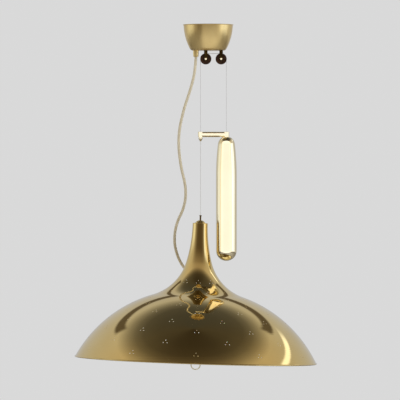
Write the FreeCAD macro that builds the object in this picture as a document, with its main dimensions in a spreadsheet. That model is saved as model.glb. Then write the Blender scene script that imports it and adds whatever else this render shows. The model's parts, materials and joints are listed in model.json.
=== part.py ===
"""Rise and fall pendant lamp: a bell shade balanced over two pulleys by a counterweight.

Millimetres. The origin is the middle of the canopy where it meets the ceiling, +Z is up and
-Y faces the viewer. The shade hangs on the left stretch of the wire and the weight on the right.
"""

import FreeCAD, Part
import math
import os
from types import SimpleNamespace

import Sketcher
from FreeCAD import Placement, Rotation, Vector

SIZES = (
    # ceiling bracket and the screws that clamp the canopy to it
    ("bracket_width", 22), ("bracket_thickness", 3), ("ear_height", 16), ("ear_clearance", 0.3),
    ("ceiling_hole_spacing", 68), ("ceiling_hole_diameter", 5.5), ("mains_hole_diameter", 16),
    ("grub_diameter", 4), ("grub_length", 6), ("grub_drop", 8),
    # canopy cup
    ("canopy_diameter", 118), ("canopy_height", 62.4), ("canopy_wall", 1.2),
    ("lip_overhang", 1.6), ("lip_height", 1.8),
    ("side_radius", 130), ("side_lean", 2), ("canopy_corner", 8),
    # carrier plate inside the cup, and the mains terminal block on it
    ("plate_thickness", 3), ("plate_clearance", 0.1), ("plate_nut_gap", 0.5),
    ("block_nut_gap", 2.6), ("block_depth", 28), ("block_height", 14),
    ("block_hole_diameter", 4), ("block_hole_pitch", 8), ("block_screw_diameter", 3),
    # pulleys
    ("pulley_drop", 82.5), ("left_pulley_place", -5.8), ("pulley_spacing", 36.8),
    ("pitch_radius", 12.6), ("rim_height", 0.8), ("wheel_width", 5), ("groove_mouth", 1.7),
    ("groove_clearance", 0.3), ("face_recess", 0.8), ("hub_radius", 4.8), ("rim_width", 2.6),
    ("bush_diameter", 6), ("pin_diameter", 4), ("pin_head_diameter", 5.2), ("pin_head", 0.9),
    ("fork_width", 8.6), ("ear_thickness", 1.6), ("fork_gap", 0.3), ("slot_gap", 0.7),
    ("fork_crown", 2), ("fork_thread", 8), ("fork_nut_diameter", 11.6), ("fork_nut_height", 4),
    ("thread_proud", 1), ("running_gap", 0.05), ("hole_gap", 0.1),
    # wire
    ("wire_diameter", 1.2),
    # cord gland
    ("gland_place", -29.5), ("gland_length", 15.1), ("gland_diameter", 13.6),
    ("gland_end_diameter", 12), ("gland_thread", 10), ("gland_thread_length", 8),
    ("gland_nut_diameter", 14), ("gland_nut_height", 3.5), ("gland_socket", 8),
    ("cord_diameter", 6.5), ("cord_gap", 0.25), ("cord_lead", 24), ("cord_reach_in", 2.5),
    # shade, hung from the end of the wire and leaning with the pull of its cord
    ("terminal_drop", 457.6), ("shade_lean", 1.9),
    ("neck_drop", 18.8), ("neck_radius", 18.2), ("neck_corner", 1.6), ("neck_hole_gap", 0.2),
    ("flare_radius", 356), ("flare_turn", 14.8), ("waist_radius", 118), ("dome_radius", 310),
    ("rim_radius", 289.5), ("shade_height", 328.3), ("shade_wall", 0.8), ("bead_diameter", 3.6),
    ("punch_reach", 8),
    # perforations, in triangles of three
    ("hole_diameter", 2.2), ("cluster_width", 9.6), ("cluster_height", 7.6),
    ("cluster_count", 11), ("first_row", 24), ("row_pitch", 34), ("lower_rows", 7),
    ("upper_row_pitch", 40), ("upper_rows", 2),
    # terminal, cap and tube in the neck
    ("stem_diameter", 4), ("stem_head_diameter", 5.4), ("stem_head_height", 3),
    ("stem_foot_diameter", 6.6), ("stem_foot_height", 2), ("wire_depth", 2), ("wire_gap", 0.15),
    ("cap_diameter", 24), ("cap_height", 7), ("cap_edge", 0.8), ("cap_thread", 3),
    ("tube_diameter", 10), ("tube_bore", 7), ("washer_diameter", 28), ("washer_height", 1.5),
    ("tube_nut_flats", 14), ("tube_nut_height", 4),
    # lamps
    ("carrier_drop", 186.6), ("carrier_thickness", 2.5), ("carrier_hub_diameter", 44),
    ("arm_width", 26), ("lamp_circle_radius", 60), ("lamp_count", 3),
    ("holder_diameter", 38), ("holder_height", 46), ("holder_neck_diameter", 24),
    ("holder_neck_height", 9), ("holder_stud_length", 8), ("socket_diameter", 27),
    ("socket_depth", 28), ("bulb_gap", 0.3), ("bulb_diameter", 60), ("bulb_length", 104),
    ("bulb_turn", 50), ("bulb_wall", 1),
    # pull rod and ring
    ("rod_diameter", 6), ("rod_grip", 12), ("eye_drop", 348.2), ("eye_width", 8),
    ("eye_thickness", 4), ("eye_hole_diameter", 4.4), ("ring_diameter", 24),
    ("ring_wire", 2.4), ("ring_gap", 0.5),
    # grommet where the cord enters the shade, low on the neck at the back
    ("grommet_azimuth", 125), ("grommet_turn", 30), ("grommet_sleeve_diameter", 11),
    ("grommet_flange_diameter", 15), ("grommet_flange", 1.6), ("grommet_outer_gap", 0.3),
    ("grommet_inner_gap", 0.8),
    # counterweight and its arm
    ("arm_drop", 263.9), ("arm_diameter", 12.6), ("collar_diameter", 13.4),
    ("collar_height", 13), ("collar_stud_diameter", 8), ("collar_stud_length", 9),
    ("guide_diameter", 12), ("guide_bore", 2.2), ("spigot_diameter", 5), ("spigot_reach", 3.5),
    ("spigot_depth", 8), ("cone_neck_diameter", 8), ("cone_neck_height", 2.4),
    ("cone_diameter", 10.4), ("cone_band", 1), ("cone_height", 9.9), ("cone_tip_diameter", 3.4),
    ("ferrule_diameter", 4.4), ("ferrule_length", 5), ("ferrule_roof", 4),
    ("weight_diameter", 50), ("weight_length", 296.8), ("weight_wall", 1.6),
    ("shoulder_radius", 20.5), ("shoulder_turn", 6.7), ("weight_seat_radius", 9),
    ("weight_nut_flats", 13), ("weight_nut_height", 4), ("ballast_height", 191),
    ("ballast_gap", 0.1),
)

# where the supply cord's straight runs would meet, between the gland and the shade
CORD_ROUTE = (
    (-30.2, 0.5, -106), (-41, 3, -152), (-60.5, 6, -208), (-73, 10, -272), (-66.5, 15, -340),
    (-53, 21, -390), (-56, 28, -436), (-78, 36, -480), (-82.5, 45, -524), (-73, 54, -560),
)
BEND_SHARE = 0.45  # of the shorter run beside a bend, taken up by the bend
TOLERANCE = 1e-6

doc = FreeCAD.newDocument("RiseAndFallPendant")
sheet = doc.addObject("Spreadsheet::Sheet", "Sizes")
worked_out = doc.addObject("App::VarSet", "Worked")


class Size:
    """A size as a number, to place geometry by, and as an expression, to bind properties to."""

    def __init__(self, value, words):
        self.value = value
        self.words = words

    def __add__(self, other):
        other = as_size(other)
        return Size(self.value + other.value, f"({self.words} + {other.words})")

    def __sub__(self, other):
        other = as_size(other)
        return Size(self.value - other.value, f"({self.words} - {other.words})")

    def __mul__(self, other):
        other = as_size(other)
        return Size(self.value * other.value, f"({self.words} * {other.words})")

    def __truediv__(self, other):
        other = as_size(other)
        return Size(self.value / other.value, f"({self.words} / {other.words})")

    def __neg__(self):
        return Size(-self.value, f"(0 - {self.words})")

    def __radd__(self, other):
        return as_size(other) + self

    def __rsub__(self, other):
        return as_size(other) - self

    def __rmul__(self, other):
        return as_size(other) * self

    def __float__(self):
        return self.value


def as_size(number):
    return number if isinstance(number, Size) else Size(float(number), repr(float(number)))


def sine(angle):
    return Size(math.sin(math.radians(angle.value)), f"sin({angle.words})")


def cosine(angle):
    return Size(math.cos(math.radians(angle.value)), f"cos({angle.words})")


def root(square):
    return Size(math.sqrt(square.value), f"sqrt({square.words})")


def keep(name, size):
    """Stores a worked-out size under its own name, so that later expressions stay short."""
    worked_out.addProperty("App::PropertyFloat", name)
    worked_out.setExpression(name, size.words)
    return Size(size.value, f"Worked.{name}")


def fill_sheet():
    for row, (name, value) in enumerate(SIZES, start=1):
        sheet.set(f"A{row}", name)
        sheet.set(f"B{row}", str(value))
        sheet.setAlias(f"B{row}", name)
    doc.recompute()
    return SimpleNamespace(**{name: Size(float(value), f"Sizes.{name}") for name, value in SIZES})


dim = fill_sheet()
nodes = []


# ---------------------------------------------------------------- building blocks

def bind(thing, **sizes):
    """Sets properties of an object and ties each to its expression."""
    for name, size in sizes.items():
        size = as_size(size)
        setattr(thing, name, size.value)
        thing.setExpression(name, size.words)
    return thing


def place(thing, x=0, y=0, z=0, axis=None, angle=0):
    """Moves an object, then turns it about its own origin."""
    turn = Rotation(axis, float(as_size(angle))) if axis else Rotation()
    thing.Placement = Placement(Vector(*(float(as_size(part)) for part in (x, y, z))), turn)
    for letter, size in zip("xyz", (x, y, z)):
        thing.setExpression(f"Placement.Base.{letter}", as_size(size).words)
    return thing


def node(label, thing):
    """Marks an object as a finished sub-part; its label names the file it is written to."""
    thing.Label = label
    nodes.append(thing)
    return thing


def plane(body, role):
    return next(part for part in body.Origin.OriginFeatures if part.Role == role)


def new_sketch(body, role):
    sketch = body.newObject("Sketcher::SketchObject", "Sketch")
    sketch.AttachmentSupport = [(plane(body, role), "")]
    sketch.MapMode = "FlatFace"
    return sketch


def tie_corner(sketch, edge, end, corner):
    for kind, size in zip(("DistanceX", "DistanceY"), corner):
        size = as_size(size)
        tie = sketch.addConstraint(Sketcher.Constraint(kind, -1, 1, edge, end, size.value))
        sketch.setExpression(f"Constraints[{tie}]", size.words)


def arc_between(start, finish, radius):
    """The short arc from start to finish, and which of its ends is the start.
    A positive radius turns counter-clockwise, a negative one clockwise."""
    half_chord = (finish - start) / 2
    leftwards = Vector(-half_chord.y, half_chord.x, 0).normalize()
    rise = math.sqrt(radius ** 2 - half_chord.Length ** 2)
    centre = start + half_chord + leftwards * math.copysign(rise, radius)
    first, last = (start, finish) if radius > 0 else (finish, start)
    begin = math.atan2(first.y - centre.y, first.x - centre.x)
    stop = math.atan2(last.y - centre.y, last.x - centre.x)
    if stop < begin:
        stop += 2 * math.pi
    circle = Part.Circle(centre, Vector(0, 0, 1), abs(radius))
    return Part.ArcOfCircle(circle, begin, stop), (1, 2) if radius > 0 else (2, 1)


def outline(sketch, corners):
    """Draws a closed outline and ties each corner to the sheet. A corner is (across, up), and
    a straight line leaves it, or (across, up, radius), and an arc of that radius leaves it."""
    points = [Vector(float(as_size(c[0])), float(as_size(c[1])), 0) for c in corners]
    drawn = []
    for index, corner in enumerate(corners):
        here, there = points[index], points[(index + 1) % len(points)]
        if len(corner) == 2:
            drawn.append((sketch.addGeometry(Part.LineSegment(here, there)), (1, 2)))
            continue
        radius = as_size(corner[2])
        arc, ends = arc_between(here, there, radius.value)
        edge = sketch.addGeometry(arc)
        tie = sketch.addConstraint(Sketcher.Constraint("Radius", edge, abs(radius.value)))
        sketch.setExpression(f"Constraints[{tie}]", f"abs({radius.words})")
        drawn.append((edge, ends))
    for index, (edge, ends) in enumerate(drawn):
        following, next_ends = drawn[(index + 1) % len(drawn)]
        sketch.addConstraint(
            Sketcher.Constraint("Coincident", edge, ends[1], following, next_ends[0]))
        tie_corner(sketch, edge, ends[0], corners[index][:2])


def circle(sketch, across, up, diameter):
    across, up, diameter = as_size(across), as_size(up), as_size(diameter)
    centre = Vector(across.value, up.value, 0)
    edge = sketch.addGeometry(Part.Circle(centre, Vector(0, 0, 1), diameter.value / 2))
    tie = sketch.addConstraint(Sketcher.Constraint("Diameter", edge, diameter.value))
    sketch.setExpression(f"Constraints[{tie}]", diameter.words)
    tie_corner(sketch, edge, 3, (across, up))


def spin(body, corners):
    """Turns an outline, given as (radius, height), about the body's own Z axis."""
    sketch = new_sketch(body, "XZ_Plane")
    outline(sketch, corners)
    revolution = body.newObject("PartDesign::Revolution", "Revolution")
    revolution.Profile = sketch
    revolution.ReferenceAxis = (sketch, ["V_Axis"])
    revolution.Angle = 360
    return body


def turned(corners):
    return spin(doc.addObject("PartDesign::Body", "Turned"), corners)


def extrude(kind, body, role, draw, length=None, both_ways=True, backwards=False):
    """Pads or pockets what draw(sketch) puts on one of the body's planes."""
    sketch = new_sketch(body, role)
    draw(sketch)
    feature = body.newObject(f"PartDesign::{kind}", kind)
    feature.Profile = sketch
    feature.SideType = "Symmetric" if both_ways else "One side"
    feature.Reversed = backwards
    if length is None:
        feature.Type = "ThroughAll"
    else:
        bind(feature, Length=length)
    return feature


def pierce(body, role, *holes):
    """Cuts round holes, each (across, up, diameter), right through a body."""
    def draw(sketch):
        for hole in holes:
            circle(sketch, *hole)
    return extrude("Pocket", body, role, draw)


def rod(diameter, length, **where):
    """A plain cylinder that starts at its place and runs along its own +Z."""
    cylinder = doc.addObject("Part::Cylinder", "Rod")
    bind(cylinder, Radius=as_size(diameter) / 2, Height=length)
    return place(cylinder, **where)


def together(things):
    compound = doc.addObject("Part::Compound", "Group")
    compound.Links = list(things)
    return compound


def cut(base, *tools):
    difference = doc.addObject("Part::Cut", "Cut")
    difference.Base = base
    difference.Tool = tools[0] if len(tools) == 1 else together(tools)
    return difference


def hex_nut(flats, bore, height):
    prism = doc.addObject("Part::Prism", "Hexagon")
    prism.Polygon = 6
    bind(prism, Circumradius=as_size(flats) / math.sqrt(3), Height=height)
    return cut(prism, rod(bore, height))


X_AXIS, Y_AXIS, Z_AXIS = Vector(1, 0, 0), Vector(0, 1, 0), Vector(0, 0, 1)


# ---------------------------------------------------------------- places shared by the pieces

side_turn_sine = keep("side_turn_sine", (
    (dim.canopy_height - dim.lip_height - dim.canopy_corner + dim.side_radius * sine(dim.side_lean))
    / (dim.side_radius - dim.canopy_corner)))
side_turn_cosine = keep("side_turn_cosine", root(1 - side_turn_sine * side_turn_sine))
cup_radius = dim.canopy_diameter / 2
side_end_radius = keep("side_end_radius", (
    cup_radius - dim.side_radius * (cosine(dim.side_lean) - side_turn_cosine)))
side_end_height = keep("side_end_height", (
    -dim.lip_height - dim.side_radius * (side_turn_sine - sine(dim.side_lean))))
floor_radius = keep("floor_radius", side_end_radius - dim.canopy_corner * side_turn_cosine)
floor_top = keep("floor_top", -dim.canopy_height + dim.canopy_wall)
plate_top = keep("plate_top", floor_top + dim.plate_thickness)

right_pulley_place = dim.left_pulley_place + dim.pulley_spacing
shade_wire_place = keep("shade_wire_place", dim.left_pulley_place - dim.pitch_radius)
weight_wire_place = keep("weight_wire_place", right_pulley_place + dim.pitch_radius)
wheel_radius = dim.pitch_radius + dim.rim_height
yoke_depth = dim.wheel_width + 2 * (dim.fork_gap + dim.ear_thickness)
pulley_to_canopy = dim.pulley_drop - dim.canopy_height
bore_of_thread = dim.fork_thread + 2 * dim.hole_gap
block_place = keep("block_place", dim.left_pulley_place + dim.pulley_spacing / 2)
block_width = keep("block_width", (
    dim.pulley_spacing - dim.fork_nut_diameter - 2 * dim.block_nut_gap))


# ---------------------------------------------------------------- canopy

def cup_radius_at(drop):
    """The cup's outer radius at a depth below the ceiling, on its bowed side."""
    turn = sine(dim.side_lean) + (drop - dim.lip_height) / dim.side_radius
    return cup_radius - dim.side_radius * (cosine(dim.side_lean) - root(1 - turn * turn))


def canopy_cup():
    wall = dim.canopy_wall
    inner_radius = cup_radius - wall * cosine(dim.side_lean)
    body = turned([
        (0, -dim.canopy_height),
        (floor_radius, -dim.canopy_height, dim.canopy_corner),
        (side_end_radius, side_end_height, dim.side_radius),
        (cup_radius, -dim.lip_height),
        (cup_radius + dim.lip_overhang, -dim.lip_height),
        (cup_radius + dim.lip_overhang, 0),
        (inner_radius, 0),
        (inner_radius, -dim.lip_height + wall * sine(dim.side_lean), -(dim.side_radius - wall)),
        (side_end_radius - wall * side_turn_cosine, side_end_height + wall * side_turn_sine,
         -(dim.canopy_corner - wall)),
        (floor_radius, floor_top),
        (0, floor_top)])
    pierce(body, "XY_Plane",
           (dim.left_pulley_place, 0, bore_of_thread),
           (right_pulley_place, 0, bore_of_thread),
           (dim.gland_place, 0, dim.gland_thread + 2 * dim.hole_gap))
    pierce(body, "YZ_Plane", (0, -dim.grub_drop, dim.grub_diameter + 2 * dim.hole_gap))
    node("canopy_cup", body)


def ceiling_bracket():
    """A strap across the ceiling box with ears turned down just inside the cup."""
    inside = cup_radius_at(dim.ear_height) - dim.canopy_wall - dim.ear_clearance
    reach = keep("ear_reach", root(inside * inside - dim.bracket_width * dim.bracket_width / 4))
    inner = reach - dim.bracket_thickness

    def side_view(sketch):
        outline(sketch, [
            (-reach, 0), (-reach, -dim.ear_height), (-inner, -dim.ear_height),
            (-inner, -dim.bracket_thickness), (inner, -dim.bracket_thickness),
            (inner, -dim.ear_height), (reach, -dim.ear_height), (reach, 0)])

    body = doc.addObject("PartDesign::Body", "Bracket")
    extrude("Pad", body, "XZ_Plane", side_view, dim.bracket_width)
    pierce(body, "XY_Plane",
           (-dim.ceiling_hole_spacing / 2, 0, dim.ceiling_hole_diameter),
           (dim.ceiling_hole_spacing / 2, 0, dim.ceiling_hole_diameter),
           (0, 0, dim.mains_hole_diameter))
    pierce(body, "YZ_Plane", (0, -dim.grub_drop, dim.grub_diameter + 2 * dim.hole_gap))
    node("ceiling_bracket", body)


def grub_screws():
    """One at each end, flush with the cup, through its wall and the bracket's ear."""
    outer_end = cup_radius_at(dim.grub_drop) - dim.hole_gap
    node("grub_screws", together([
        rod(dim.grub_diameter, dim.grub_length, x=outer_end - dim.grub_length,
            z=-dim.grub_drop, axis=Y_AXIS, angle=90),
        rod(dim.grub_diameter, dim.grub_length, x=-outer_end,
            z=-dim.grub_drop, axis=Y_AXIS, angle=90)]))


def carrier_plate():
    def disc(sketch):
        circle(sketch, 0, 0, 2 * (floor_radius - dim.plate_clearance))
    body = doc.addObject("PartDesign::Body", "Plate")
    extrude("Pad", body, "XY_Plane", disc, dim.plate_thickness, both_ways=False)
    pierce(body, "XY_Plane",
           (dim.left_pulley_place, 0, bore_of_thread),
           (right_pulley_place, 0, bore_of_thread),
           (dim.gland_place, 0, dim.gland_nut_diameter + 2 * dim.plate_nut_gap),
           (block_place, 0, dim.block_screw_diameter))
    node("carrier_plate", place(body, z=floor_top))


def terminal_block():
    def footprint(sketch):
        half_width, half_depth = block_width / 2, dim.block_depth / 2
        outline(sketch, [(-half_width, -half_depth), (half_width, -half_depth),
                         (half_width, half_depth), (-half_width, half_depth)])
    body = doc.addObject("PartDesign::Body", "Block")
    extrude("Pad", body, "XY_Plane", footprint, dim.block_height, both_ways=False)
    pierce(body, "XY_Plane", (0, 0, dim.block_screw_diameter + 2 * dim.hole_gap))
    pierce(body, "YZ_Plane", *(
        (dim.block_hole_pitch * place_along, dim.block_height / 2, dim.block_hole_diameter)
        for place_along in (-1, 1)))
    node("terminal_block", place(body, x=block_place, z=plate_top))
    screw_reach = dim.block_height + dim.plate_thickness
    screw = turned([
        (0, -screw_reach), (dim.block_screw_diameter / 2, -screw_reach),
        (dim.block_screw_diameter / 2, 0), (dim.block_screw_diameter, 0),
        (dim.block_screw_diameter, dim.block_screw_diameter / 2),
        (0, dim.block_screw_diameter / 2)])
    node("block_screw", place(screw, x=block_place, z=plate_top + dim.block_height))


def cord_gland():
    radius, end_radius = dim.gland_diameter / 2, dim.gland_end_diameter / 2
    thread = dim.gland_thread / 2
    body = turned([
        (0, dim.gland_socket), (dim.cord_diameter / 2 + dim.cord_gap, dim.gland_socket),
        (dim.cord_diameter / 2 + dim.cord_gap, 0), (end_radius, 0),
        (radius, dim.gland_length / 2), (radius, dim.gland_length), (thread, dim.gland_length),
        (thread, dim.gland_length + dim.gland_thread_length),
        (0, dim.gland_length + dim.gland_thread_length)])
    pierce(body, "XY_Plane", (0, 0, dim.cord_diameter / 2))
    node("cord_gland", place(body, x=dim.gland_place, z=-dim.canopy_height - dim.gland_length))
    nut = cut(rod(dim.gland_nut_diameter, dim.gland_nut_height),
              rod(dim.gland_thread + 2 * dim.hole_gap, dim.gland_nut_height))
    node("gland_nut", place(nut, x=dim.gland_place, z=floor_top))


# ---------------------------------------------------------------- pulleys

def pulley_fork(label, x):
    """A yoke over the wheel, its stem shouldered under the cup and threaded above it."""
    half_width = dim.fork_width / 2
    yoke_top = wheel_radius + dim.slot_gap + dim.fork_crown
    thread_top = (pulley_to_canopy + dim.canopy_wall + dim.plate_thickness
                  + dim.fork_nut_height + dim.thread_proud)
    slot_half = dim.wheel_width / 2 + dim.fork_gap

    def front_view(sketch):
        outline(sketch, [
            (-half_width, yoke_top), (-half_width, 0, half_width),
            (0, -half_width, half_width), (half_width, 0), (half_width, yoke_top)])

    def slot(sketch):
        outline(sketch, [
            (-slot_half, -dim.fork_width), (slot_half, -dim.fork_width),
            (slot_half, wheel_radius + dim.slot_gap), (-slot_half, wheel_radius + dim.slot_gap)])

    body = doc.addObject("PartDesign::Body", "Fork")
    extrude("Pad", body, "XZ_Plane", front_view, yoke_depth)
    spin(body, [
        (0, yoke_top - dim.fork_crown / 2), (half_width, yoke_top - dim.fork_crown / 2),
        (half_width, pulley_to_canopy), (dim.fork_thread / 2, pulley_to_canopy),
        (dim.fork_thread / 2, thread_top), (0, thread_top)])
    extrude("Pocket", body, "YZ_Plane", slot)
    pierce(body, "XZ_Plane", (0, 0, dim.pin_diameter + 2 * dim.running_gap))
    node(label, place(body, x=x, z=-dim.pulley_drop))


def pulley_wheel(label, x):
    """Grooved for the wire, with dished faces."""
    half, recessed = dim.wheel_width / 2, dim.wheel_width / 2 - dim.face_recess
    bore = dim.bush_diameter / 2 + dim.running_gap / 2
    groove = dim.wire_diameter / 2 + dim.groove_clearance
    body = turned([
        (bore, -half), (dim.hub_radius, -half), (dim.hub_radius, -recessed),
        (wheel_radius - dim.rim_width, -recessed), (wheel_radius - dim.rim_width, -half),
        (wheel_radius, -half), (wheel_radius, -dim.groove_mouth),
        (dim.pitch_radius, -groove, -groove), (dim.pitch_radius - groove, 0, -groove),
        (dim.pitch_radius, groove), (wheel_radius, dim.groove_mouth), (wheel_radius, half),
        (wheel_radius - dim.rim_width, half), (wheel_radius - dim.rim_width, recessed),
        (dim.hub_radius, recessed), (dim.hub_radius, half), (bore, half)])
    node(f"{label}_wheel", place(body, x=x, z=-dim.pulley_drop, axis=X_AXIS, angle=90))
    bush = cut(rod(dim.bush_diameter, dim.wheel_width, z=-half),
               rod(dim.pin_diameter + 2 * dim.running_gap, dim.wheel_width, z=-half))
    node(f"{label}_bush", place(bush, x=x, z=-dim.pulley_drop, axis=X_AXIS, angle=90))


def pulley_pin(x):
    """Riveted over a small head at each end."""
    shaft, head = dim.pin_diameter / 2, dim.pin_head_diameter / 2
    half, over_heads = yoke_depth / 2, yoke_depth / 2 + dim.pin_head
    pin = turned([
        (0, -over_heads), (shaft, -over_heads), (head, -half - dim.pin_head / 3), (head, -half),
        (shaft, -half), (shaft, half), (head, half), (head, half + dim.pin_head / 3),
        (shaft, over_heads), (0, over_heads)])
    return place(pin, x=x, z=-dim.pulley_drop, axis=X_AXIS, angle=90)


def fork_nut(x):
    nut = cut(rod(dim.fork_nut_diameter, dim.fork_nut_height),
              rod(dim.fork_thread + 2 * dim.hole_gap, dim.fork_nut_height))
    return place(nut, x=x, z=plate_top)


def pulleys():
    places = (("left_pulley", dim.left_pulley_place), ("right_pulley", right_pulley_place))
    for label, x in places:
        pulley_fork(f"{label}_fork", x)
        pulley_wheel(label, x)
    node("pulley_pins", together(pulley_pin(x) for label, x in places))
    node("fork_nuts", together(fork_nut(x) for label, x in places))


# ---------------------------------------------------------------- wire and cord

def tube(edges, diameter):
    """A round section swept along edges that meet tangentially."""
    path = Part.Wire(edges)
    start = edges[0].valueAt(edges[0].FirstParameter)
    heading = edges[0].tangentAt(edges[0].FirstParameter)
    section = Part.Wire(Part.Circle(start, heading, float(diameter) / 2).toShape())
    swept = doc.addObject("Part::Feature", "Tube")
    swept.Shape = path.makePipeShell([section], True, False)
    area = math.pi * float(diameter) ** 2 / 4
    print(f"tube: volume {swept.Shape.Volume:.1f}, section by length {area * path.Length:.1f}")
    return swept


def suspension_wire():
    """One wire in three stretches: up from the shade, over both pulleys, down to the weight."""
    drop, pitch = float(dim.pulley_drop), float(dim.pitch_radius)
    left, right = float(dim.left_pulley_place), float(right_pulley_place)
    corner = pitch * math.sqrt(0.5)
    top = pitch - drop
    over = [
        Part.Arc(Vector(left - pitch, 0, -drop), Vector(left - corner, 0, corner - drop),
                 Vector(left, 0, top)).toShape(),
        Part.LineSegment(Vector(left, 0, top), Vector(right, 0, top)).toShape(),
        Part.Arc(Vector(right, 0, top), Vector(right + corner, 0, corner - drop),
                 Vector(right + pitch, 0, -drop)).toShape()]
    node("wire_over_pulleys", tube(over, dim.wire_diameter))
    shade_end = dim.terminal_drop + dim.wire_depth
    node("shade_wire", rod(dim.wire_diameter, shade_end - dim.pulley_drop,
                           x=shade_wire_place, z=-shade_end))
    weight_end = dim.arm_drop + dim.ferrule_roof + dim.ferrule_length - dim.collar_height / 2
    node("weight_wire", rod(dim.wire_diameter, weight_end - dim.pulley_drop,
                            x=weight_wire_place, z=-weight_end))


def cord_edges(points):
    """Straight runs through the points, joined by arcs as large as the runs allow."""
    edges = []
    start = points[0]
    for before, here, after in zip(points, points[1:], points[2:]):
        arriving, leaving = here - before, after - here
        turn = arriving.getAngle(leaving)
        reach = BEND_SHARE * min(arriving.Length, leaving.Length)
        arriving.normalize()
        leaving.normalize()
        enter, leave = here - arriving * reach, here + leaving * reach
        radius = reach / math.tan(turn / 2)
        inwards = (leaving - arriving).normalize()
        middle = here + inwards * (radius / math.cos(turn / 2) - radius)
        edges.append(Part.LineSegment(start, enter).toShape())
        edges.append(Part.Arc(enter, middle, leave).toShape())
        start = leave
        print(f"cord radius {radius:.1f}, turn {math.degrees(turn):.1f}")
    edges.append(Part.LineSegment(start, points[-1]).toShape())
    return edges


def supply_cord():
    """Hangs from the gland beside the wire and enters the shade through the grommet."""
    gland_roof = -float(dim.canopy_height + dim.gland_length - dim.gland_socket)
    outer, outwards = grommet_seat()
    points = [
        Vector(float(dim.gland_place), 0, gland_roof),
        *(Vector(*point) for point in CORD_ROUTE),
        outer + outwards * float(dim.cord_lead),
        outer - outwards * float(dim.cord_reach_in)]
    node("supply_cord", tube(cord_edges(points), dim.cord_diameter))


# ---------------------------------------------------------------- shade

neck_top = -dim.neck_drop
flare_top = neck_top - dim.neck_corner
flare_end = (
    keep("flare_end_radius", dim.neck_radius + dim.flare_radius * (1 - cosine(dim.flare_turn))),
    keep("flare_end_height", flare_top - dim.flare_radius * sine(dim.flare_turn)))
waist_centre = (
    keep("waist_centre_radius", flare_end[0] + dim.waist_radius * cosine(dim.flare_turn)),
    keep("waist_centre_height", flare_end[1] + dim.waist_radius * sine(dim.flare_turn)))
rim = (dim.rim_radius, neck_top - dim.shade_height)

# The dome's arc ends at the rim and runs smoothly out of the waist's arc, which bends the
# other way: the triangle of the two arcs' centres and the rim gives the direction between them.
rim_across, rim_down = rim[0] - waist_centre[0], waist_centre[1] - rim[1]
rim_reach = keep("rim_reach", root(rim_across * rim_across + rim_down * rim_down))
centres_apart = dim.waist_radius + dim.dome_radius
swing_cosine = keep("swing_cosine", (
    (centres_apart * centres_apart + rim_reach * rim_reach - dim.dome_radius * dim.dome_radius)
    / (2 * centres_apart * rim_reach)))
swing_sine = keep("swing_sine", root(1 - swing_cosine * swing_cosine))
inward = (
    keep("inward_across", (rim_across * swing_cosine - rim_down * swing_sine) / rim_reach),
    keep("inward_up", -(rim_across * swing_sine + rim_down * swing_cosine) / rim_reach))
waist_end = (
    keep("waist_end_radius", waist_centre[0] + dim.waist_radius * inward[0]),
    keep("waist_end_height", waist_centre[1] + dim.waist_radius * inward[1]))
dome_centre = (
    keep("dome_centre_radius", waist_centre[0] + centres_apart * inward[0]),
    keep("dome_centre_height", waist_centre[1] + centres_apart * inward[1]))
rim_normal = (
    keep("rim_normal_across", (rim[0] - dome_centre[0]) / dim.dome_radius),
    keep("rim_normal_up", (rim[1] - dome_centre[1]) / dim.dome_radius))


def on_waist(turn):
    """Radius and height on the waist's arc where its tangent is so many degrees off the axis."""
    return (waist_centre[0] - dim.waist_radius * cosine(turn),
            waist_centre[1] - dim.waist_radius * sine(turn))


def along_shade(distance):
    """Radius, height and turn of the surface, in degrees, a distance up from the rim."""
    dome_start = math.atan2(float(rim_normal[1]), float(rim_normal[0]))
    dome_stop = math.atan2(-float(inward[1]), -float(inward[0]))
    dome_length = float(dim.dome_radius) * (dome_stop - dome_start)
    if distance < dome_length:
        turn = dome_start + distance / float(dim.dome_radius)
        return (float(dome_centre[0]) + float(dim.dome_radius) * math.cos(turn),
                float(dome_centre[1]) + float(dim.dome_radius) * math.sin(turn),
                math.degrees(turn))
    turn = dome_stop - (distance - dome_length) / float(dim.waist_radius)
    return (float(waist_centre[0]) - float(dim.waist_radius) * math.cos(turn),
            float(waist_centre[1]) - float(dim.waist_radius) * math.sin(turn),
            math.degrees(turn))


def facing(radius, height, turn, azimuth):
    """A placement on the shade's surface whose Z points outwards and whose Y points upwards."""
    upright = Placement(Vector(radius, 0, height), Rotation(Y_AXIS, 90 - turn))
    about_axis = Placement(Vector(0, 0, 0), Rotation(Z_AXIS, azimuth))
    return about_axis * upright * Placement(Vector(0, 0, 0), Rotation(Z_AXIS, 90))


def hang(thing, z=0, y=0, x=0):
    """Places a piece of the shade: on the shade's own axis, which leans from the wire's end."""
    lean = dim.shade_lean
    return place(thing, x=shade_wire_place + x * cosine(lean) + z * sine(lean), y=y,
                 z=z * cosine(lean) - x * sine(lean) - dim.terminal_drop,
                 axis=Y_AXIS, angle=lean)


def shade_placement():
    corner = Vector(float(shade_wire_place), 0, -float(dim.terminal_drop))
    return Placement(corner, Rotation(Y_AXIS, float(dim.shade_lean)))


def grommet_place():
    radius, height = on_waist(dim.grommet_turn)
    return facing(float(radius), float(height), float(dim.grommet_turn),
                  float(dim.grommet_azimuth))


def grommet_seat():
    """Where the cord enters the shade, and the direction out of it, in the lamp's frame."""
    seat = shade_placement() * grommet_place()
    return seat.Base, seat.Rotation.multVec(Z_AXIS)


def perforation_rows():
    lower = [float(dim.first_row) + float(dim.row_pitch) * row
             for row in range(round(float(dim.lower_rows)))]
    upper = [lower[-1] + float(dim.upper_row_pitch) * (row + 1)
             for row in range(round(float(dim.upper_rows)))]
    return lower + upper


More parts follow.
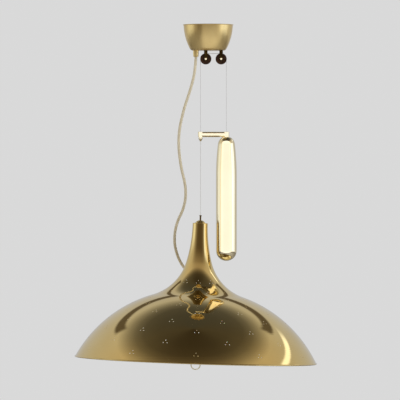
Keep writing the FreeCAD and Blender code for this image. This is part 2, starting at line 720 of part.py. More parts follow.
def cluster_pins(radius, height, turn, azimuth):
    """Three pins through the wall, one above two."""
    reach = float(dim.punch_reach)
    half_width, half_height = float(dim.cluster_width) / 2, float(dim.cluster_height) / 2
    pins = []
    for across, up in ((0, half_height), (-half_width, -half_height), (half_width, -half_height)):
        pin = Part.makeCylinder(float(dim.hole_diameter) / 2, 2 * reach,
                                Vector(across, up, -reach))
        pin.Placement = facing(radius, height, turn, azimuth)
        pins.append(pin)
    return pins


def perforated(spun):
    """Punches one sector of the spun wall, with one cluster of every row, and repeats it.
    Every second row lies half a step round, and a sector's sides lie a quarter step from both."""
    count = round(float(dim.cluster_count))
    step = 360 / count
    wedge = Part.makeCylinder(2 * float(dim.rim_radius), float(dim.terminal_drop + dim.arm_drop),
                              Vector(0, 0, -float(dim.terminal_drop)), Z_AXIS, step)
    wedge.Placement = Placement(Vector(), Rotation(Z_AXIS, -90 - step / 4))
    pins = []
    for row, distance in enumerate(perforation_rows()):
        pins += cluster_pins(*along_shade(distance), row % 2 * step / 2 - 90)
    sector = spun.common(wedge).cut(Part.makeCompound(pins))
    skin = [face for face in sector.Faces if not is_sector_side(face)]
    faces = []
    for index in range(count):
        turn = Placement(Vector(), Rotation(Z_AXIS, index * step))
        for face in skin:
            repeated = face.copy()
            repeated.Placement = turn * face.Placement
            faces.append(repeated)
    shell = Part.Shell(faces)
    shell.sewShape()
    return Part.Solid(shell)


def is_sector_side(face):
    """True for a flat face that holds the shade's axis."""
    if not isinstance(face.Surface, Part.Plane):
        return False
    normal = face.normalAt(0, 0)
    return abs(normal.z) < TOLERANCE and abs(face.CenterOfMass.dot(normal)) < TOLERANCE


def shade_shell():
    wall = dim.shade_wall
    hole = dim.tube_diameter / 2 + dim.neck_hole_gap
    inner_waist_end = (waist_end[0] + wall * inward[0], waist_end[1] + wall * inward[1])
    inner_rim = (rim[0] - wall * rim_normal[0], rim[1] - wall * rim_normal[1])
    body = turned([
        (hole, neck_top),
        (dim.neck_radius - dim.neck_corner, neck_top, -dim.neck_corner),
        (dim.neck_radius, flare_top, dim.flare_radius),
        (*flare_end, dim.waist_radius),
        (*waist_end, -dim.dome_radius),
        rim,
        (*inner_rim, dim.dome_radius - wall),
        (*inner_waist_end, -(dim.waist_radius + wall)),
        (flare_end[0] - wall * cosine(dim.flare_turn), flare_end[1] - wall * sine(dim.flare_turn),
         -(dim.flare_radius + wall)),
        (dim.neck_radius - wall, flare_top, dim.neck_corner - wall),
        (dim.neck_radius - dim.neck_corner, neck_top - wall),
        (hole, neck_top - wall)])
    bead = new_sketch(body, "XZ_Plane")
    circle(bead, rim[0] - wall * rim_normal[0] / 2, rim[1] - wall * rim_normal[1] / 2,
           dim.bead_diameter)
    rolled = body.newObject("PartDesign::Revolution", "Bead")
    rolled.Profile = bead
    rolled.ReferenceAxis = (bead, ["V_Axis"])
    rolled.Angle = 360
    doc.recompute()
    shell = doc.addObject("Part::Feature", "Perforated")
    sleeve_radius = float(dim.grommet_sleeve_diameter) / 2 + float(dim.hole_gap)
    reach = float(dim.punch_reach)
    sleeve = Part.makeCylinder(sleeve_radius, 2 * reach, Vector(0, 0, -reach))
    sleeve.Placement = grommet_place()
    shell.Shape = perforated(body.Shape).cut(sleeve)
    node("shade_shell", hang(shell))


def neck_cap():
    radius = dim.cap_diameter / 2
    crown = dim.cap_height - dim.cap_edge
    body = turned([
        (0, dim.cap_thread), (dim.tube_diameter / 2 + dim.hole_gap, dim.cap_thread),
        (dim.tube_diameter / 2 + dim.hole_gap, 0), (radius, 0),
        (radius, dim.cap_edge, (radius * radius + crown * crown) / (2 * crown)),
        (0, dim.cap_height)])
    pierce(body, "XY_Plane", (0, 0, dim.stem_diameter + 2 * dim.running_gap))
    node("neck_cap", hang(body, neck_top))


def wire_stem():
    """Holds the wire's end in its head, and the cap on its foot."""
    bore = dim.wire_diameter / 2 + dim.wire_gap
    head, shaft, foot = (
        dim.stem_head_diameter / 2, dim.stem_diameter / 2, dim.stem_foot_diameter / 2)
    under_cap = neck_top + dim.cap_thread
    body = turned([
        (bore, 0), (head, 0), (head, -dim.stem_head_height), (shaft, -dim.stem_head_height),
        (shaft, under_cap), (foot, under_cap), (foot, under_cap - dim.stem_foot_height),
        (0, under_cap - dim.stem_foot_height), (0, -dim.wire_depth - dim.wire_gap),
        (bore, -dim.wire_depth - dim.wire_gap)])
    node("wire_stem", hang(body))


def hanger():
    """The tube clamps the neck's turned-in lip under the cap and carries the lamps."""
    washer_top = neck_top - dim.shade_wall
    carrier_bottom = -dim.carrier_drop - dim.carrier_thickness
    tube_end = carrier_bottom - dim.tube_nut_height - dim.thread_proud
    tube_start = neck_top + dim.cap_thread - dim.hole_gap
    tube_length = tube_start - tube_end
    bore_of_nut = dim.tube_diameter + 2 * dim.hole_gap
    node("hanger_tube", hang(cut(
        rod(dim.tube_diameter, tube_length), rod(dim.tube_bore, tube_length)), tube_end))
    node("neck_washer", hang(cut(
        rod(dim.washer_diameter, dim.washer_height), rod(bore_of_nut, dim.washer_height)),
        washer_top - dim.washer_height))
    node("neck_nut", hang(
        hex_nut(dim.tube_nut_flats, bore_of_nut, dim.tube_nut_height),
        washer_top - dim.washer_height - dim.tube_nut_height))
    node("carrier_nuts", together([
        hang(hex_nut(dim.tube_nut_flats, bore_of_nut, dim.tube_nut_height), -dim.carrier_drop),
        hang(hex_nut(dim.tube_nut_flats, bore_of_nut, dim.tube_nut_height),
             carrier_bottom - dim.tube_nut_height)]))
    rod_top = tube_end + dim.rod_grip
    lower = dim.rod_grip
    eye_top = dim.eye_width - dim.eye_drop
    body = turned([
        (0, eye_top - rod_top), (dim.rod_diameter / 2, eye_top - rod_top),
        (dim.rod_diameter / 2, -lower), (dim.tube_bore / 2 - dim.running_gap, -lower),
        (dim.tube_bore / 2 - dim.running_gap, 0), (0, 0)])
    node("pull_rod", hang(body, rod_top))


def lamp_carrier():
    """A hub with an arm out to each lampholder."""
    def hub(sketch):
        circle(sketch, 0, 0, dim.carrier_hub_diameter)

    def arm(sketch):
        reach, half = dim.lamp_circle_radius, dim.arm_width / 2
        outline(sketch, [(0, -half), (reach, -half, half), (reach + half, 0, half),
                         (reach, half), (0, half)])

    body = doc.addObject("PartDesign::Body", "Carrier")
    extrude("Pad", body, "XY_Plane", hub, dim.carrier_thickness, both_ways=False)
    one_arm = extrude("Pad", body, "XY_Plane", arm, dim.carrier_thickness, both_ways=False)
    one_hole = pierce(body, "XY_Plane",
                      (dim.lamp_circle_radius, 0, dim.tube_diameter + 2 * dim.hole_gap))
    arms = body.newObject("PartDesign::PolarPattern", "Arms")
    arms.Originals = [one_arm, one_hole]
    arms.Axis = (plane(body, "Z_Axis"), [""])
    arms.Angle = 360
    arms.setExpression("Occurrences", dim.lamp_count.words)
    body.Tip = arms
    pierce(body, "XY_Plane", (0, 0, dim.tube_diameter + 2 * dim.hole_gap))
    node("lamp_carrier", hang(body, -dim.carrier_drop - dim.carrier_thickness))


def lampholder():
    outer, neck = dim.holder_diameter / 2, dim.holder_neck_diameter / 2
    stud, socket = dim.tube_diameter / 2, dim.socket_diameter / 2
    mouth = -dim.holder_height
    return turned([
        (0, dim.holder_stud_length), (0, mouth + dim.socket_depth),
        (socket, mouth + dim.socket_depth), (socket, mouth), (outer, mouth),
        (outer, -dim.holder_neck_height * 2), (neck, -dim.holder_neck_height), (neck, 0),
        (stud, 0), (stud, dim.holder_stud_length)])


def bulb():
    """Hollow: screw cap in the socket, then a neck that swells into a round envelope."""
    cap, wall = dim.socket_diameter / 2 - dim.bulb_gap, dim.bulb_wall
    globe = dim.bulb_diameter / 2
    inside = globe - wall
    top = -dim.holder_height + dim.socket_depth - dim.bulb_gap
    mouth = -dim.holder_height - dim.bulb_gap
    centre = top - dim.bulb_length + globe
    across, up = cosine(dim.bulb_turn), sine(dim.bulb_turn)
    return turned([
        (0, centre - globe, globe), (globe, centre, globe),
        (globe * across, centre + globe * up), (cap, mouth), (cap, top), (0, top),
        (0, top - wall), (cap - wall, top - wall), (cap - wall, mouth),
        (inside * across, centre + inside * up, -inside), (inside, centre, -inside),
        (0, centre - inside)])


def lamps():
    count = round(float(dim.lamp_count))
    under_carrier = -dim.carrier_drop - dim.carrier_thickness
    nuts = []
    for index in range(count):
        azimuth = Size(360 * index / count, f"(360 * {index} / Sizes.lamp_count)")
        x = dim.lamp_circle_radius * cosine(azimuth)
        y = dim.lamp_circle_radius * sine(azimuth)
        node(f"lampholder_{index + 1}", hang(lampholder(), under_carrier, y, x))
        node(f"bulb_{index + 1}", hang(bulb(), under_carrier, y, x))
        nuts.append(hang(hex_nut(dim.tube_nut_flats, dim.tube_diameter + 2 * dim.hole_gap,
                                 dim.tube_nut_height), -dim.carrier_drop, y, x))
    node("lampholder_nuts", together(nuts))


def pull_ring():
    """A flat eye below the rod, and a ring that hangs in it."""
    half = dim.eye_width / 2

    def side_view(sketch):
        outline(sketch, [(-half, dim.eye_width), (-half, 0, half), (0, -half, half),
                         (half, 0), (half, dim.eye_width)])

    body = doc.addObject("PartDesign::Body", "Eye")
    extrude("Pad", body, "YZ_Plane", side_view, dim.eye_thickness)
    pierce(body, "YZ_Plane", (0, 0, dim.eye_hole_diameter))
    node("pull_eye", hang(body, -dim.eye_drop))
    ring = doc.addObject("Part::Torus", "Ring")
    middle_radius = dim.ring_diameter / 2 - dim.ring_wire / 2
    bind(ring, Radius1=middle_radius, Radius2=dim.ring_wire / 2)
    sag = dim.eye_hole_diameter / 2 - dim.ring_wire / 2 - dim.ring_gap
    hang(ring, -dim.eye_drop - sag - middle_radius)
    upright = Rotation(Y_AXIS, float(dim.shade_lean)) * Rotation(X_AXIS, 90)
    ring.Placement = Placement(ring.Placement.Base, upright)
    node("pull_ring", ring)


def cord_grommet():
    """Rubber, its groove wide enough for the curved wall."""
    flange, sleeve = dim.grommet_flange_diameter / 2, dim.grommet_sleeve_diameter / 2
    bore = dim.cord_diameter / 2 + dim.cord_gap
    inner_face = -dim.shade_wall - dim.grommet_inner_gap
    body = turned([
        (bore, inner_face - dim.grommet_flange), (flange, inner_face - dim.grommet_flange),
        (flange, inner_face), (sleeve, inner_face), (sleeve, dim.grommet_outer_gap),
        (flange, dim.grommet_outer_gap), (flange, dim.grommet_outer_gap + dim.grommet_flange),
        (bore, dim.grommet_outer_gap + dim.grommet_flange)])
    body.Placement = shade_placement() * grommet_place()
    node("cord_grommet", body)


# ---------------------------------------------------------------- counterweight

def beside_weight(thing, x=0, z=0, **turn):
    """Places a piece of the counterweight from where its wire meets the arm's axis."""
    return place(thing, x=weight_wire_place + x, z=z - dim.arm_drop, **turn)


def arm_pieces():
    """A collar on the weight's wire, a guide on the shade's wire and a bar between them."""
    span = weight_wire_place - shade_wire_place
    half = dim.collar_height / 2
    wire_hole = dim.wire_diameter / 2 + dim.wire_gap
    ferrule = dim.ferrule_diameter / 2 + dim.hole_gap
    collar, stud = dim.collar_diameter / 2, dim.collar_stud_diameter / 2
    stud_end = -half - dim.collar_stud_length
    ferrule_roof = half - dim.ferrule_roof
    spigot_hole = dim.spigot_diameter + 2 * dim.hole_gap
    pocket = dim.spigot_reach + dim.hole_gap

    def socket(x, length):
        return rod(spigot_hole, length, x=x, axis=Y_AXIS, angle=90)

    collar_blank = turned([
        (wire_hole, half), (wire_hole, ferrule_roof), (ferrule, ferrule_roof),
        (ferrule, stud_end), (stud, stud_end), (stud, -half), (collar, -half), (collar, half)])
    node("arm_collar", beside_weight(cut(collar_blank, socket(-collar, pocket))))

    guide, guide_hole = dim.guide_diameter / 2, dim.guide_bore / 2
    guide_blank = turned([
        (guide_hole, -half), (guide, -half), (guide, half), (guide_hole, half)])
    node("guide_tube", beside_weight(cut(guide_blank, socket(guide - pocket, pocket)), x=-span))

    cone, cone_neck = dim.cone_diameter / 2, dim.cone_neck_diameter / 2
    band_top = -dim.cone_neck_height
    node("guide_cone", beside_weight(turned([
        (guide_hole, 0), (guide_hole, -dim.cone_height),
        (dim.cone_tip_diameter / 2, -dim.cone_height), (cone, band_top - dim.cone_band),
        (cone, band_top), (cone_neck, band_top), (cone_neck, 0)]), x=-span, z=-half))

    bar_hole = dim.spigot_depth + dim.hole_gap
    bar = cut(rod(dim.arm_diameter, span, x=-span, axis=Y_AXIS, angle=90),
              rod(dim.guide_diameter, 2 * dim.arm_diameter, x=-span, z=-dim.arm_diameter),
              rod(dim.collar_diameter, 2 * dim.arm_diameter, z=-dim.arm_diameter),
              socket(-span, guide + bar_hole), socket(-collar - bar_hole, collar + bar_hole))
    node("cross_arm", beside_weight(bar))

    spigot_length = dim.spigot_reach + dim.spigot_depth
    node("arm_spigots", together([
        beside_weight(rod(dim.spigot_diameter, spigot_length),
                      x=guide - dim.spigot_reach - span, axis=Y_AXIS, angle=90),
        beside_weight(rod(dim.spigot_diameter, spigot_length),
                      x=dim.spigot_reach - collar - spigot_length, axis=Y_AXIS, angle=90)]))

    node("wire_ferrule", beside_weight(cut(
        rod(dim.ferrule_diameter, dim.ferrule_length),
        rod(dim.wire_diameter + 2 * dim.running_gap, dim.ferrule_length)),
        z=ferrule_roof - dim.ferrule_length))


def counterweight():
    """A thin polished shell, slimmer at its domed top, filled with ballast from the bottom."""
    seat = -dim.collar_height / 2
    radius, wall, shoulder = dim.weight_diameter / 2, dim.weight_wall, dim.shoulder_radius
    turn = dim.shoulder_turn
    slack = radius - shoulder * cosine(turn)
    side = keep("weight_side_radius", slack / (1 - cosine(turn)))
    seat_rise = root(shoulder * shoulder - dim.weight_seat_radius * dim.weight_seat_radius)
    shoulder_centre = seat - seat_rise
    shoulder_end = shoulder_centre + shoulder * sine(turn)
    side_end = shoulder_end - side * sine(turn)
    base_centre = seat - dim.weight_length + radius
    bore = dim.collar_stud_diameter / 2 + dim.hole_gap
    inner_shoulder = shoulder - wall
    ceiling = seat - wall
    ceiling_rise = ceiling - shoulder_centre
    ceiling_radius = root(inner_shoulder * inner_shoulder - ceiling_rise * ceiling_rise)
    node("weight_shell", beside_weight(turned([
        (bore, seat), (dim.weight_seat_radius, seat, -shoulder),
        (shoulder * cosine(turn), shoulder_end, -side),
        (radius, side_end), (radius, base_centre, -radius), (0, base_centre - radius),
        (0, base_centre - radius + wall, radius - wall), (radius - wall, base_centre),
        (radius - wall, side_end, side - wall),
        (inner_shoulder * cosine(turn), shoulder_end - wall * sine(turn), inner_shoulder),
        (ceiling_radius, ceiling), (bore, ceiling)])))
    fill = radius - wall - dim.ballast_gap
    fill_top = base_centre - fill + dim.ballast_height
    node("weight_ballast", beside_weight(turned([
        (0, base_centre - fill, fill), (fill, base_centre), (fill, fill_top), (0, fill_top)])))
    node("weight_nut", beside_weight(
        hex_nut(dim.weight_nut_flats, dim.collar_stud_diameter + 2 * dim.hole_gap,
                dim.weight_nut_height), z=ceiling - dim.weight_nut_height))


# ---------------------------------------------------------------- the lamp

def check_and_write():
    doc.recompute()
    for thing in doc.Objects:
        if "Invalid" in thing.State or "Error" in thing.State:
            raise RuntimeError(f"{thing.Label} failed: {thing.State}")
    for thing in nodes:
        if thing.Shape.isNull() or not thing.Shape.isValid():
            raise RuntimeError(f"{thing.Label} has no valid shape")
    os.makedirs("parts", exist_ok=True)
    for thing in nodes:
        thing.Shape.exportStep(f"parts/{thing.Label}.step")
    print(f"{len(nodes)} sub-parts written")


ceiling_bracket()
canopy_cup()
grub_screws()
carrier_plate()
terminal_block()
cord_gland()
pulleys()
suspension_wire()
shade_shell()
neck_cap()
wire_stem()
hanger()
lamp_carrier()
lamps()
pull_ring()
cord_grommet()
supply_cord()
arm_pieces()
counterweight()
check_and_write()
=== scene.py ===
# %% [markdown]
# # A rise and fall pendant lamp
# A brass shade hangs on a wire that runs over two pulleys to a counterweight, so it stays at
# whatever height it is pulled to. We dress the imported engineering model: every part of it is
# already in the scene at its true place, in metres, with the origin where the lamp meets the
# ceiling, +Z up and the viewer at -Y. We give each visible part a finish, and where a part is
# round and mirror-bright we spin it again, because a mirror shows every facet.

# %% Load the lamp
import json
import math

import bpy
from mathutils import Matrix, Vector

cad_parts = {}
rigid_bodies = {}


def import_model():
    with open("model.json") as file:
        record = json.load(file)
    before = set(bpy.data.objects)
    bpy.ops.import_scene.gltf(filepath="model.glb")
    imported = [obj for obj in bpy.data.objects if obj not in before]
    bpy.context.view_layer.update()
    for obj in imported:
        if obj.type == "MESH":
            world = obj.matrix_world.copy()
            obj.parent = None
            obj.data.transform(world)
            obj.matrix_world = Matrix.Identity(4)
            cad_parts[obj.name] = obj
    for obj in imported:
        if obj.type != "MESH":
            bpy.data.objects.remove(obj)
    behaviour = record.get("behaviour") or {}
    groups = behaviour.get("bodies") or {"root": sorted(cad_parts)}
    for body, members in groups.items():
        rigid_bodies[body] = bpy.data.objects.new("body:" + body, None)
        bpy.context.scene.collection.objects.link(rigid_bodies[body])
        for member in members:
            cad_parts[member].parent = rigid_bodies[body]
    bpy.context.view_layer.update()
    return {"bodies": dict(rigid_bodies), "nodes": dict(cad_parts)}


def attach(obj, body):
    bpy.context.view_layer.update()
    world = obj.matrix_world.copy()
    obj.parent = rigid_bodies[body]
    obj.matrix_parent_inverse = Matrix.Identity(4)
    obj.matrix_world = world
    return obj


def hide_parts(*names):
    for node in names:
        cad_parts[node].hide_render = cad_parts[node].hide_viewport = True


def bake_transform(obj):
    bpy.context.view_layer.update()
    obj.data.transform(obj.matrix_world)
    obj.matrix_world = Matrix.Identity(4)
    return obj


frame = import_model()
print("bodies:", ", ".join(frame["bodies"]))

# %% [markdown]
# ## The camera
# The photograph is taken from far away, so the lamp shows almost no perspective. A long lens
# at 12 m gives the same look, with the canopy near the top of the picture.

# %% Camera
MM = 0.001
PIXEL = 2.4 * MM
CAMERA_DISTANCE = 12.0
CAMERA_PLACE = (-0.0197, -CAMERA_DISTANCE, -0.4212)
SENSOR = 36.0

camera_data = bpy.data.cameras.new("camera")
camera_data.sensor_width = SENSOR
camera_data.lens = SENSOR * CAMERA_DISTANCE / (400 * PIXEL)
camera = bpy.data.objects.new("camera", camera_data)
camera.location = CAMERA_PLACE
camera.rotation_euler = (math.radians(90), 0, 0)
bpy.context.scene.collection.objects.link(camera)
bpy.context.scene.camera = camera
print("lens:", round(camera_data.lens), "mm")

# %% [markdown]
# ## Turned pieces
# Most of this lamp was spun or turned on a lathe, and we make those pieces the same way: draw
# half of the outline, then spin it about the axis. Blender's operators act on all that is
# selected, so we first need two helpers that leave nothing selected, or only what we name.

# %% Choose a piece


def nothing_selected():
    if bpy.context.object and bpy.context.object.mode != "OBJECT":
        bpy.ops.object.mode_set(mode="OBJECT")
    bpy.ops.object.select_all(action="DESELECT")


def pick(piece, *others):
    """Makes these objects the selected ones, and the first of them the active one."""
    nothing_selected()
    for each in (piece, *others):
        each.select_set(True)
    bpy.context.view_layer.objects.active = piece


# %% [markdown]
# One vertex is all that an outline starts from. It is extruded along straight runs and spun
# about a centre for each arc, so every curve keeps the radius that the drawing gives it. An
# arc gets a step for every few degrees, and more where it is large, as on the dome.

# %% Draw an outline
ARC_STEP = math.radians(6)
LONGEST_STEP = 5.0  # mm along an arc


def arc_centre(start, finish, radius):
    """Centre and turn of the short arc; a positive radius turns counter-clockwise."""
    chord = finish - start
    leftwards = Vector((-chord.y, chord.x)).normalized()
    rise = math.sqrt(max(radius ** 2 - (chord.length / 2) ** 2, 0))
    centre = (start + finish) / 2 + leftwards * math.copysign(rise, radius)
    turn = 2 * math.asin(min(chord.length / (2 * abs(radius)), 1))
    return centre, math.copysign(turn, radius)


def draw_outline(name, corners):
    """Draws (across, up) corners in mm in the XZ plane, from one vertex. A corner with a third
    number is left along an arc of that radius, and any other along a straight line."""
    nothing_selected()
    bpy.ops.mesh.primitive_plane_add(size=MM)
    piece = bpy.context.object
    piece.name = name
    bpy.ops.object.mode_set(mode="EDIT")
    bpy.ops.mesh.select_mode(type="VERT")
    bpy.ops.mesh.merge(type="CENTER")
    bpy.ops.transform.translate(value=(corners[0][0] * MM, 0, corners[0][1] * MM))
    for here, there in zip(corners, corners[1:]):
        start, finish = Vector(here[:2]), Vector(there[:2])
        if len(here) == 2:
            run = (finish - start) * MM
            bpy.ops.mesh.extrude_vertices_move(
                TRANSFORM_OT_translate={"value": (run.x, 0, run.y)})
            continue
        centre, turn = arc_centre(start, finish, here[2])
        by_angle = abs(turn) / ARC_STEP
        by_length = abs(turn * here[2]) / LONGEST_STEP
        bpy.ops.mesh.spin(
            steps=max(2, math.ceil(max(by_angle, by_length))), angle=turn,
            center=(centre.x * MM, 0, centre.y * MM), axis=(0, 1, 0))
    return piece


# %% [markdown]
# A full turn about the Z axis makes the outline a solid. The turn ends where it began, so the
# doubles there are merged, and a spin can leave a shape inside out, so its faces are turned
# outwards. Every finished piece has its place applied to its mesh: then all the patterns of
# its finish start from one origin.

# %% Turn it on the lathe
FINE = 1e-5  # metres, for merging doubles


def tidy_mesh(piece):
    """Merges doubles and turns all faces outwards; ends in object mode."""
    bpy.ops.mesh.select_all(action="SELECT")
    bpy.ops.mesh.remove_doubles(threshold=FINE)
    bpy.ops.mesh.normals_make_consistent(inside=False)
    bpy.ops.object.mode_set(mode="OBJECT")
    return piece


def smooth(piece, sharper_than=30):
    pick(piece)
    bpy.ops.object.shade_smooth_by_angle(angle=math.radians(sharper_than))
    return piece


def turned(name, corners, sides=64):
    """A piece turned about the Z axis, closed where its outline starts and ends on the axis
    or comes back to its first corner."""
    piece = draw_outline(name, corners)
    bpy.ops.mesh.select_all(action="SELECT")
    bpy.ops.mesh.spin(steps=sides, angle=2 * math.pi, center=(0, 0, 0), axis=(0, 0, 1))
    return smooth(tidy_mesh(piece))


def put(piece, at=(0, 0, 0), turn=(0, 0, 0)):
    """Turns a piece about the origin, in degrees, moves it to a place in mm and applies both."""
    pick(piece)
    piece.rotation_euler = [math.radians(angle) for angle in turn]
    piece.location = [part * MM for part in at]
    bpy.ops.object.transform_apply(location=True, rotation=True, scale=True)
    return piece


def faces_of(piece):
    return len(piece.data.polygons)


# %% [markdown]
# The shade hangs from the end of its wire and leans a little, pulled by its cord. All of its
# pieces are drawn upright about one axis and then hung together.

# %% Hang a piece on the shade's axis
WIRE_END = (-18.4, 0, -457.6)
LEAN = 1.9


def hang(piece):
    """Moves a piece drawn about the Z axis to where the shade hangs."""
    return put(piece, WIRE_END, (0, LEAN, 0))


def dress(piece, body, slot, *nodes):
    """The piece moves with a body and takes the place of these nodes, which are hidden. The slot is
    not used.
    """
    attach(piece, body)
    if nodes:
        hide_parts(*nodes)
    return piece


# %% [markdown]
# ## The shade
# A disc of brass 0.8 mm thick was spun over a former into a neck, a waist and a dome, and its
# edge was rolled over a wire. It is pierced with triangles of small holes, eleven round the
# shade in every row. We draw the section of the wall, outside and inside, and turn it through
# one eleventh of a circle only. That sector is pierced, and then repeated round the axis.

# %% The section of the shade's wall
SHADE_WALL = 0.8
NECK_TOP, NECK_RADIUS, NECK_CORNER, NECK_HOLE = -18.8, 18.2, 1.6, 5.2
FLARE_TOP = NECK_TOP - NECK_CORNER
FLARE_RADIUS, FLARE_END = 356, (30.011, -111.339)
WAIST_CENTRE, WAIST_RADIUS, WAIST_END = (144.096, -81.196), 118, (108.181, -193.598)
DOME_CENTRE, DOME_RADIUS, RIM = (13.827, -488.889), 310, (289.5, -347.1)
BEAD_RADIUS = 1.8


def inset(point, centre, distance):
    """The point moved a distance towards the centre, or away from it if negative."""
    step = (Vector(centre) - Vector(point)).normalized() * distance
    return tuple(Vector(point) + step)


flare_centre = (NECK_RADIUS + FLARE_RADIUS, FLARE_TOP)
bead_centre = Vector(inset(RIM, DOME_CENTRE, SHADE_WALL / 2))
rim_normal = (Vector(RIM) - Vector(DOME_CENTRE)).normalized()
up_the_wall = Vector((-rim_normal.y, rim_normal.x))
bead_reach = math.sqrt(BEAD_RADIUS ** 2 - (SHADE_WALL / 2) ** 2)
bead_far_side = tuple(bead_centre - up_the_wall * BEAD_RADIUS)
shade_outline = [
    (NECK_HOLE, NECK_TOP),
    (NECK_RADIUS - NECK_CORNER, NECK_TOP, -NECK_CORNER),
    (NECK_RADIUS, FLARE_TOP, FLARE_RADIUS),
    (*FLARE_END, WAIST_RADIUS),
    (*WAIST_END, -DOME_RADIUS),
    (*(bead_centre + up_the_wall * bead_reach + rim_normal * SHADE_WALL / 2), -BEAD_RADIUS),
    (*bead_far_side, -BEAD_RADIUS),
    (*(bead_centre + up_the_wall * bead_reach - rim_normal * SHADE_WALL / 2),
     DOME_RADIUS - SHADE_WALL),
    (*inset(WAIST_END, WAIST_CENTRE, -SHADE_WALL), -(WAIST_RADIUS + SHADE_WALL)),
    (*inset(FLARE_END, flare_centre, -SHADE_WALL), -(FLARE_RADIUS + SHADE_WALL)),
    (NECK_RADIUS - SHADE_WALL, FLARE_TOP, NECK_CORNER - SHADE_WALL),
    (NECK_RADIUS - NECK_CORNER, NECK_TOP - SHADE_WALL),
    (NECK_HOLE, NECK_TOP - SHADE_WALL),
    (NECK_HOLE, NECK_TOP),
]
print("corners in the wall's section:", len(shade_outline))

# %% [markdown]
# Where a hole goes is measured along the wall, up from the rim, as a spinner marks it out.
# The wall there also gives the direction of the drill.

# %% Places on the wall
HOLE_DIAMETER = 2.6
CLUSTERS_ROUND = 11
SECTOR = 360 / CLUSTERS_ROUND
CLUSTER_WIDTH, CLUSTER_HEIGHT = 9.6, 7.6
ROWS = [24 + 34 * row for row in range(7)] + [268, 308]


def along_wall(distance):
    """Across, up and the direction of the wall's normal, in radians above the level."""
    start = math.atan2(RIM[1] - DOME_CENTRE[1], RIM[0] - DOME_CENTRE[0])
    stop = math.atan2(WAIST_END[1] - DOME_CENTRE[1], WAIST_END[0] - DOME_CENTRE[0])
    dome_length = DOME_RADIUS * (stop - start)
    if distance < dome_length:
        turn = start + distance / DOME_RADIUS
        centre, radius = DOME_CENTRE, DOME_RADIUS
    else:
        turn = stop - (distance - dome_length) / WAIST_RADIUS
        centre, radius = WAIST_CENTRE, -WAIST_RADIUS
    return centre[0] + radius * math.cos(turn), centre[1] + radius * math.sin(turn), turn


def on_wall(across, up, turn, azimuth):
    """A frame on the wall: Z points out of it, Y up it and X along the row."""
    return (Matrix.Rotation(math.radians(azimuth), 4, "Z")
            @ Matrix.Translation((across * MM, 0, up * MM))
            @ Matrix.Rotation(math.radians(90) - turn, 4, "Y")
            @ Matrix.Rotation(math.radians(90), 4, "Z"))


print("holes in the shade:", 3 * CLUSTERS_ROUND * len(ROWS))

# %% [markdown]
# One pin is modelled and copied to every hole of the sector, and a boolean modifier takes the
# pins out of it. The same three helpers drill the other holes of the lamp later.

# %% Rods, copies and cuts


def copies(piece, places):
    """Copies of a piece at these matrices, each with its own mesh, joined; it is used up."""
    made = []
    for place in places:
        twin = piece.copy()
        twin.data = piece.data.copy()
        twin.matrix_world = place @ piece.matrix_world
        bpy.context.scene.collection.objects.link(twin)
        made.append(twin)
    bpy.data.objects.remove(piece)
    pick(*made)
    bpy.ops.object.join()
    bpy.ops.object.transform_apply(location=True, rotation=True, scale=True)
    return bpy.context.object


def cut_away(piece, tool):
    pick(piece)
    cut = piece.modifiers.new("cut", "BOOLEAN")
    cut.operation = "DIFFERENCE"
    cut.solver = "MANIFOLD"
    cut.object = tool
    bpy.ops.object.modifier_apply(modifier=cut.name)
    bpy.data.objects.remove(tool)
    return piece


def cylinder(diameter, length, sides=48, at=(0, 0, 0), turn=(0, 0, 0)):
    """A plain rod about its middle, to cut with or to shape further."""
    nothing_selected()
    bpy.ops.mesh.primitive_cylinder_add(
        vertices=sides, radius=diameter / 2 * MM, depth=length * MM)
    return put(bpy.context.object, at, turn)


# %% [markdown]
# The sector's two cut sides lie in planes through the axis, which is how we find them. They
# are deleted, the sector is spun round as ten more copies of itself, and the seams between
# the copies are merged. Cutting one sector instead of the whole shade is quick, and every
# cluster of holes comes out alike.

# %% Pierce a sector and repeat it
PIN_SIDES, PIN_LENGTH = 16, 16
SECTOR_STEPS = 16


def select_faces(piece, test):
    """Ends in edit mode with only the faces that pass the test selected."""
    pick(piece)
    bpy.ops.object.mode_set(mode="EDIT")
    bpy.ops.mesh.select_mode(type="FACE")
    bpy.ops.mesh.select_all(action="DESELECT")
    bpy.ops.object.mode_set(mode="OBJECT")
    for face in piece.data.polygons:
        face.select = test(face)
    bpy.ops.object.mode_set(mode="EDIT")


def on_sector_side(face):
    middle, normal = face.center, face.normal
    return abs(normal.z) < 1e-3 and abs(middle.x * normal.x + middle.y * normal.y) < FINE


shade = draw_outline("brass_shade", shade_outline)
bpy.ops.mesh.select_all(action="SELECT")
bpy.ops.mesh.remove_doubles(threshold=FINE)
bpy.ops.mesh.edge_face_add()
bpy.ops.mesh.spin(
    steps=SECTOR_STEPS, angle=math.radians(SECTOR), center=(0, 0, 0), axis=(0, 0, -1))
tidy_mesh(shade)
put(shade, turn=(0, 0, -90 - SECTOR / 4))
pin_places = []
for row, distance in enumerate(ROWS):
    wall = on_wall(*along_wall(distance), row % 2 * SECTOR / 2 - 90)
    for across, up in ((0, 1), (-1, -1), (1, -1)):
        pin_places.append(wall @ Matrix.Translation(
            (across * CLUSTER_WIDTH / 2 * MM, up * CLUSTER_HEIGHT / 2 * MM, 0)))
cut_away(shade, copies(cylinder(HOLE_DIAMETER, PIN_LENGTH, PIN_SIDES), pin_places))
select_faces(shade, on_sector_side)
bpy.ops.mesh.delete(type="FACE")
bpy.ops.mesh.select_all(action="SELECT")
bpy.ops.mesh.spin(
    steps=CLUSTERS_ROUND - 1, angle=math.radians(360 - SECTOR), dupli=True,
    center=(0, 0, 0), axis=(0, 0, 1))
tidy_mesh(shade)
print("faces in the shade:", faces_of(shade))

# %% [markdown]
# The supply cord goes into the shade low on the back of the neck, through a rubber grommet.
# Its hole is cut with one more rod, which stands square on the wall.

